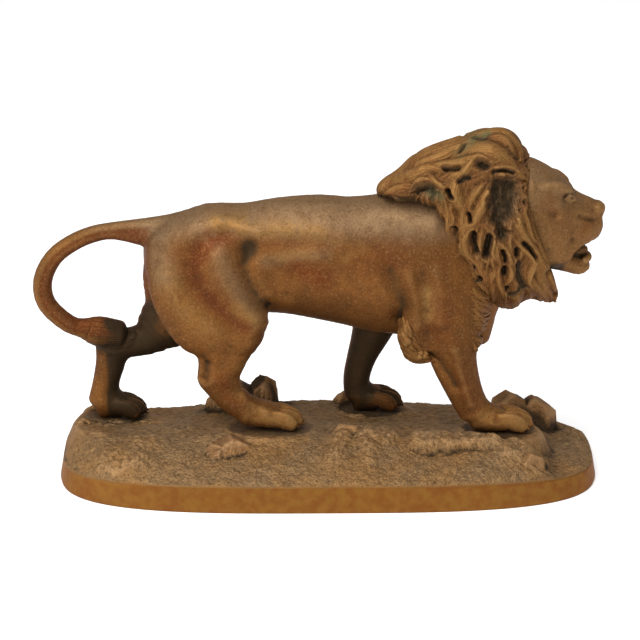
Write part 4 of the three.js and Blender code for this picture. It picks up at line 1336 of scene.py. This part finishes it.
def cyclic_weights(t):
    """Catmull-Rom weights of the four points round a place t of the way between two."""
    first = -t + 2 * t**2 - t**3
    second = 2 - 5 * t**2 + 3 * t**3
    third = t + 4 * t**2 - 3 * t**3
    return np.stack([first, second, third, t**3 - t**2], -1) / 2


def mane_grid(columns, rows):
    """Points of the collar: a curve through the rings along u, and round each ring along v."""
    rings = MANE_RINGS * [1, -1, 1]
    around = np.concatenate([rings, rings[:, -2:0:-1] * [1, -1, 1]], axis=1)
    padded = np.concatenate([2 * around[:1] - around[1:2], around, 2 * around[-1:] - around[-2:-1]])
    sides = around.shape[1]
    u = np.linspace(0, len(rings) - 1, rows)
    v = np.linspace(0, sides, columns, endpoint=False)
    cell = np.minimum(np.floor(u).astype(int), len(rings) - 2)
    lines = np.einsum("rk,rkvc->rvc", cyclic_weights(u - cell), padded[cell[:, None] + np.arange(4)])
    cell = np.floor(v).astype(int)
    nearby = lines[:, (cell[:, None] + np.arange(-1, 3)) % sides]
    return u - 1, np.einsum("ck,rckd->rcd", cyclic_weights(v - cell), nearby)


def grid_normals(points):
    """Outward normals of the collar: the cross product of its two directions."""
    along = np.gradient(points, axis=0)
    round_it = (np.roll(points, -1, axis=1) - np.roll(points, 1, axis=1)) / 2
    normals = np.cross(along, round_it)
    return normals / np.maximum(np.linalg.norm(normals, axis=-1, keepdims=True), 1e-9)


def in_middle_plane(points, side):
    """Where a sight line from the viewpoint C through a point P meets the middle plane:
    C + (P - C) Cy / (Cy - Py). The left side is seen in a mirror."""
    points = points * [1, -side, 1]
    share = VIEWPOINT[1] / (VIEWPOINT[1] - points[:, 1])
    x, _, z = (VIEWPOINT + share[:, None] * (points - VIEWPOINT)).T
    return x, z


def soft_max(first, second, blend):
    """The larger of two heights, with their crossing rounded over the given width."""
    near = np.maximum(blend - np.abs(first - second), 0)
    return np.maximum(first, second) + near**2 / (4 * blend)


class Collar:
    """The mane's surface as rows of points, each with a height, a painted shade and a comb's phase."""

    def __init__(self, grid):
        self.points = grid.reshape(-1, 3)
        self.out = grid_normals(grid).reshape(-1, 3)
        flow = np.where(self.points[:, 2] > 110, self.points[:, 1], self.points[:, 0])
        self.comb = 2 * math.pi / STRAND_GAP * (flow + 1.6 * rough(self.points, 9, 41))
        self.height = 0.35 * rough(self.points, 5, 31) - 0.3
        self.shade = np.zeros(len(self.points))

    def line(self, places, side):
        """Points and normals of the surface under a curve drawn in the middle plane."""
        x, z = in_middle_plane(self.points, side)
        facing = np.flatnonzero((self.points[:, 1] * side > -0.5) & (self.out[:, 1] * side > -0.3))
        path = curve_through(places, PATH_STEPS)
        away = (x[facing] - path[:, :1]) ** 2 + (z[facing] - path[:, 1:]) ** 2
        found = facing[away.argmin(1)]
        line = self.points[found]
        for _ in range(PATH_ROUNDS):
            line[1:-1] = (line[:-2] + 2 * line[1:-1] + line[2:]) / 4
        return line, self.out[found]

    def beside(self, line, reach):
        """The points near a line, the step of it nearest to each, and the way from there."""
        middle = (line.max(0) + line.min(0)) / 2
        box = np.ptp(line, axis=0) / 2 + reach
        near = np.flatnonzero((np.abs(self.points - middle) < box).all(1))
        gap = self.points[near][:, None] - line
        best = (gap**2).sum(-1).argmin(1)
        return near, best, gap[np.arange(len(near)), best]

    def lay(self, line, out, half_width, rise, bend):
        """Lays on a lock: a rounded ridge whose edge is a crease where it meets its neighbour."""
        near, best, gap = self.beside(line, 2 * half_width)
        ahead = np.gradient(line, axis=0)
        ahead /= np.maximum(np.linalg.norm(ahead, axis=1, keepdims=True), 1e-6)
        across = (gap * np.cross(ahead, out)[best]).sum(1)
        past = np.abs((gap * ahead[best]).sum(1))
        share = best / (len(line) - 1)
        taper = np.sin(math.pi * (0.05 + 0.88 * share)) ** 0.7
        width = half_width * (0.15 + 0.85 * taper)
        ridge = rise * (0.1 + 0.9 * taper)
        ridge = ridge * (1 - np.abs(across / width) ** 1.7) - np.maximum(0, past - 0.6) ** 2
        wins = ridge > self.height[near]
        phase = 2 * math.pi * across / STRAND_GAP + 3 * np.sin(5 * share + bend)
        self.comb[near] = np.where(wins, phase, self.comb[near])
        self.height[near] = soft_max(self.height[near], ridge, LOCK_CREASE)

    def sink(self, line, reach, depth):
        """Cuts a hollow along a line, deepest in its middle: depth * exp(-(d / reach)^3), and paints
        shade in it.
        """
        near, _, gap = self.beside(line, 2.2 * reach)
        ragged = 1 + 0.22 * rough(self.points[near], 2.4, 35)
        inside = np.exp(-((np.linalg.norm(gap, axis=1) / reach * ragged) ** 3))
        self.height[near] = self.height[near] * (1 - 0.8 * inside) - depth * inside
        self.shade[near] = np.maximum(self.shade[near], inside)


def small_lock(random):
    """A short bowed line at a random place: straight back on the crown, and down elsewhere."""
    x, z = random.uniform(30, 76), random.uniform(62, 120)
    lean = smooth(104, 112, z)
    length = random.uniform(6, 11)
    step = np.array([-0.8 * lean + random.uniform(-0.25, 0.25), -1 + 0.6 * lean]) * length / 2
    bow = np.array([step[1], -step[0]]) * random.uniform(-0.3, 0.3)
    return [(x, z), step + bow + (x, z), 2 * step + (x, z)]


def model_mane(columns, rows):
    """The collar with small random locks, then the drawn ones, then the hollows, on each side."""
    u, grid = mane_grid(columns, rows)
    collar = Collar(grid)
    random = np.random.default_rng(8)
    for side in BOTH:
        stray = LEFT_STRAY * (side == LEFT)
        for _ in range(SMALL_LOCKS):
            places = small_lock(random)
            line, out = collar.line(places, side)
            half_width, rise = random.uniform(0.8, 1.5), random.uniform(0.4, 1.4)
            collar.lay(line, out, half_width, rise, places[0][0])
        for places, half_width, rise in LOCKS:
            drawn = np.array(places) + random.uniform(-stray, stray, (len(places), 2))
            line, out = collar.line(drawn, side)
            collar.lay(line, out, half_width, rise, places[0][0])
        for places, reach, depth in HOLLOWS:
            collar.sink(collar.line(places, side)[0], reach, depth)
    height = collar.height + 0.4 * collar.shade * rough(collar.points, 1.6, 33) - MANE_DEPTH
    hidden = np.repeat(smooth(-0.1, -0.6, u) + smooth(6.2, 6.9, u), columns)
    height = height * (1 - hidden) - HIDDEN_DEPTH * hidden
    raised = (collar.points + collar.out * height[:, None]).reshape(rows, columns, 3)
    ids = np.arange(height.size).reshape(rows, columns)
    faces = [tube(ids), cap(ids[0, ::-1], height.size), cap(ids[-1], height.size + 1)]
    points = np.vstack([raised.reshape(-1, 3), raised[0].mean(0), raised[-1].mean(0)])
    # Painted highlights on the crests, and painted shade in the hollows and in a strip under the roll
    # at the shoulder
    crest = 0.85 * smooth(0.4, 1.8, collar.height) * (1 - collar.shade)
    shade = np.maximum(collar.shade, np.repeat(0.8 * smooth(6.05, 6.4, u), columns))
    marks = (np.append(values, [0, 0]) for values in (shade, crest, collar.comb))
    return points, np.vstack(faces), *marks


def verdigris(points):
    """Green streaks, by bells of a point's distance from each line as the viewpoint sees it."""
    green = np.zeros(len(points))
    for side in BOTH:
        seen_x, seen_z = in_middle_plane(points, side)
        for places, reach in VERDIGRIS:
            near = np.exp(-away_from(places, seen_x, seen_z) / reach**2) * (points[:, 1] * side > -2)
            green = np.maximum(green, near)
    return green


MANE_COLUMNS, MANE_ROWS = FINE_MANE if FINE else QUICK_MANE
MANE_CELL = 0.5 * FINE_MANE[0] / MANE_COLUMNS
mane_points, mane_faces, mane_shade, crest_highlight, mane_comb = model_mane(MANE_COLUMNS, MANE_ROWS)
mane_hollow = hollowness(mane_points, mane_faces, MANE_CELL, 1.4, 0.25)
mane = cast(
    "lion_mane",
    mane_points,
    mane_faces,
    hollow=np.clip(0.8 * mane_hollow + 0.7 * mane_shade, -1, 1),
    gold=crest_highlight,
    comb=mane_comb,
    dull=np.clip(0.12 + mane_shade, 0, 1),
    green=0.8 * verdigris(mane_points),
)
bronze_finish("mane_bronze", mane)
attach(mane, "root")
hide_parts("lion")

# Loose hair: the shaggy fringe at the elbows and the curls on the chest below the mane. Each
# lock was rolled in clay, laid on the body and combed, and was cast in bronze in one with it.

# Each patch: lines (x, z) along which the locks' roots, middles and tips lie on the body's skin,
# how many locks a side, their half width and thickness, and how far each point strays
HAIR = {
    "elbow_fringe": (
        [(25.4, 62), (24.6, 56.5), (25.6, 51.5), (28.4, 48)],
        [(27.6, 57.5), (28, 52.6), (30.2, 48.8), (32.6, 46.6)],
        [(29.8, 53.6), (31.2, 49.4), (34.2, 46.8), (37.2, 45.6)],
        30, 1.0, 0.42, 0.8,
    ),
    "elbow_wisps": (
        [(27, 62), (28.4, 57), (30.4, 52), (33.4, 49)],
        [(28.6, 58), (31, 53), (33.6, 49), (36.4, 47)],
        [(30.4, 54), (33.4, 49.6), (36.4, 46.6), (39.4, 45.8)],
        18, 0.8, 0.4, 0.8,
    ),
    "chest_curls": (
        [(50, 74), (50.4, 66), (51, 58), (50.6, 52)],
        [(53.4, 70), (53.6, 62), (53.6, 55), (52.4, 49.5)],
        [(57, 67.4), (56.6, 60), (55, 53.5), (53.4, 47)],
        34, 1.1, 0.5, 0.9,
    ),
}


def on_skin(places, side, lift):
    """Points of the body's skin on one side under places (x, z), raised along their normals."""
    facing = np.flatnonzero((body_points[:, 1] * side > 2) & (body_out[:, 1] * side > 0.1))
    x, _, z = body_points[facing].T
    places = np.array(places)
    found = facing[((x - places[:, :1]) ** 2 + (z - places[:, 1:]) ** 2).argmin(1)]
    return body_points[found] + lift * body_out[found]


HAIR_STEPS = 16
HAIR_SIDES = 18
HAIR_STRANDS = 6
HAIR_GROOVE = 0.13
HAIR_SHADE = 0.1
HAIR_GOLD = 0.35


def hair_lock(points, half_width, thickness, twist):
    """A tapering roll along a curve: its section is an ellipse whose rim waves once for each
    strand, and turns slowly on its way to the tip."""
    line = curve_through(points, HAIR_STEPS)
    share = np.linspace(0, 1, len(line))
    ahead = np.gradient(line, axis=0)
    ahead /= np.linalg.norm(ahead, axis=1, keepdims=True)
    outward = np.array([0, np.sign(points[1][1]), 0])
    out = outward - ahead * (ahead @ outward)[:, None]
    out /= np.linalg.norm(out, axis=1, keepdims=True)
    wide = np.cross(ahead, out)
    taper = np.sin(math.pi * (0.1 + 0.84 * share)) ** 0.8
    taper[[0, -1]] = 0.03
    angle = np.linspace(0, 2 * math.pi, HAIR_SIDES, endpoint=False)
    rim = 1 + HAIR_GROOVE * np.cos(HAIR_STRANDS * angle + twist)
    turn = angle[None] + twist * share[:, None]
    ring = wide[:, None] * (np.cos(turn) * rim * half_width)[..., None]
    ring = ring + out[:, None] * (np.sin(turn) * rim * thickness)[..., None]
    return line[:, None] + ring * taper[:, None, None]


def patch_rows(lines, count, half_width, thickness, stray, random):
    """Roots, middles and tips at even shares of the three lines, each strayed by chance."""
    rows = []
    lines = [curve_through(line, 8) for line in lines]
    for side in BOTH:
        for share in (np.arange(count) + 0.5) / count:
            places = [line[round(share * (len(line) - 1))] for line in lines]
            places = np.array(places) + random.uniform(-stray, stray, (3, 2))
            size = random.uniform(0.8, 1.25)
            stations = on_skin(places, side, 0.1)
            rows.append((stations, size * half_width, size * thickness))
    return rows


def hair(name, rows, random):
    """All the locks of one patch of hair, joined into one mesh with closed ends."""
    points, faces, count = [], [], 0
    for stations, half_width, thickness in rows:
        grid = hair_lock(np.array(stations), half_width, thickness, random.uniform(-1.2, 1.2))
        rings, sides = grid.shape[:2]
        ids = count + np.arange(rings * sides).reshape(rings, sides)
        faces.append(tube(ids))
        for ring in (ids[0], ids[-1, ::-1]):
            fan = ring[: sides // 2]
            back = ring[::-1][: sides // 2]
            faces.append(np.stack([fan[:-1], fan[1:], back[1:], back[:-1]], -1))
        points.append(grid.reshape(-1, 3))
        count += rings * sides
    points, faces = np.vstack(points), np.vstack(faces)
    # Painted shade in the grooves between the strands and locks, and a little over all the hair
    hollow = hollowness(points, faces, 0.5, 1.8, 0.2) + HAIR_SHADE
    curls = cast(name, points, faces, hollow=hollow, gold=np.full(len(points), HAIR_GOLD))
    bronze_finish(name + "_bronze", curls)
    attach(curls, "root")
    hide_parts("lion")


hair_random = np.random.default_rng(5)
for name, (*lines, count, half_width, thickness, stray) in HAIR.items():
    rows = patch_rows(lines, count, half_width, thickness, stray, hair_random)
    hair(name, rows, hair_random)

# The studio: a plain white table, large enough to be the backdrop too, soft light from all round,
# and a camera with a long lens at the photograph's viewing angle.

TABLE = 6
WHITE = (1, 1, 1, 1)
TABLE_FINISH = {
    "Base Color": (0.95, 0.95, 0.95, 1),
    "Roughness": 0.9,
    "Emission Color": WHITE,
    "Emission Strength": 0.25,
}
ROOM_LIGHT = 0.55

corners = [(-TABLE, -TABLE, 0), (TABLE, -TABLE, 0), (TABLE, TABLE, 0), (-TABLE, TABLE, 0)]
table_mesh = bpy.data.meshes.new("table_top")
table_mesh.from_pydata(corners, [], [(0, 1, 2, 3)])
table = bpy.data.objects.new("table_top", table_mesh)
bpy.context.scene.collection.objects.link(table)
white = bpy.data.materials.new("table_white")
white.use_nodes = True
for key, value in TABLE_FINISH.items():
    white.node_tree.nodes["Principled BSDF"].inputs[key].default_value = value
table_mesh.materials.append(white)

world = bpy.data.worlds.new("studio")
bpy.context.scene.world = world
world.use_nodes = True
world.node_tree.nodes["Background"].inputs["Color"].default_value = WHITE
world.node_tree.nodes["Background"].inputs["Strength"].default_value = ROOM_LIGHT


def softbox(name, place, aim, size, power):
    """A square area light that points from its place to its aim."""
    light = bpy.data.lights.new(name, "AREA")
    light.size = size
    light.energy = power
    lamp = bpy.data.objects.new(name, light)
    lamp.location = place
    lamp.rotation_euler = (Vector(aim) - Vector(place)).to_track_quat("-Z", "Y").to_euler()
    bpy.context.scene.collection.objects.link(lamp)


softbox("light_above", (-0.2, -0.4, 0.9), (0, 0, 0.05), 0.7, 9)
softbox("light_left", (-0.8, -0.5, 0.4), (0, 0, 0.06), 0.5, 3)

# The camera was fitted to the photo: where it looks, how far it stands, its rise and its turn
SENSOR_WIDTH = 36
LENS = 174.14
LOOKS_AT = (-2.797, 0, 55.5)
CAMERA_DISTANCE = 1.1
CAMERA_RISE = math.radians(18.806)
CAMERA_TURN = math.radians(-0.734)

camera_data = bpy.data.cameras.new("camera")
camera_data.sensor_width = SENSOR_WIDTH
camera_data.lens = LENS
camera = bpy.data.objects.new("camera", camera_data)
target = Vector(LOOKS_AT) * MM
across = math.sin(CAMERA_TURN) * math.cos(CAMERA_RISE)
back = -math.cos(CAMERA_TURN) * math.cos(CAMERA_RISE)
camera.location = target + CAMERA_DISTANCE * Vector((across, back, math.sin(CAMERA_RISE)))
camera.rotation_euler = (target - camera.location).to_track_quat("-Z", "Y").to_euler()
bpy.context.scene.collection.objects.link(camera)
bpy.context.scene.camera = camera
bpy.context.scene.view_settings.view_transform = "Standard"
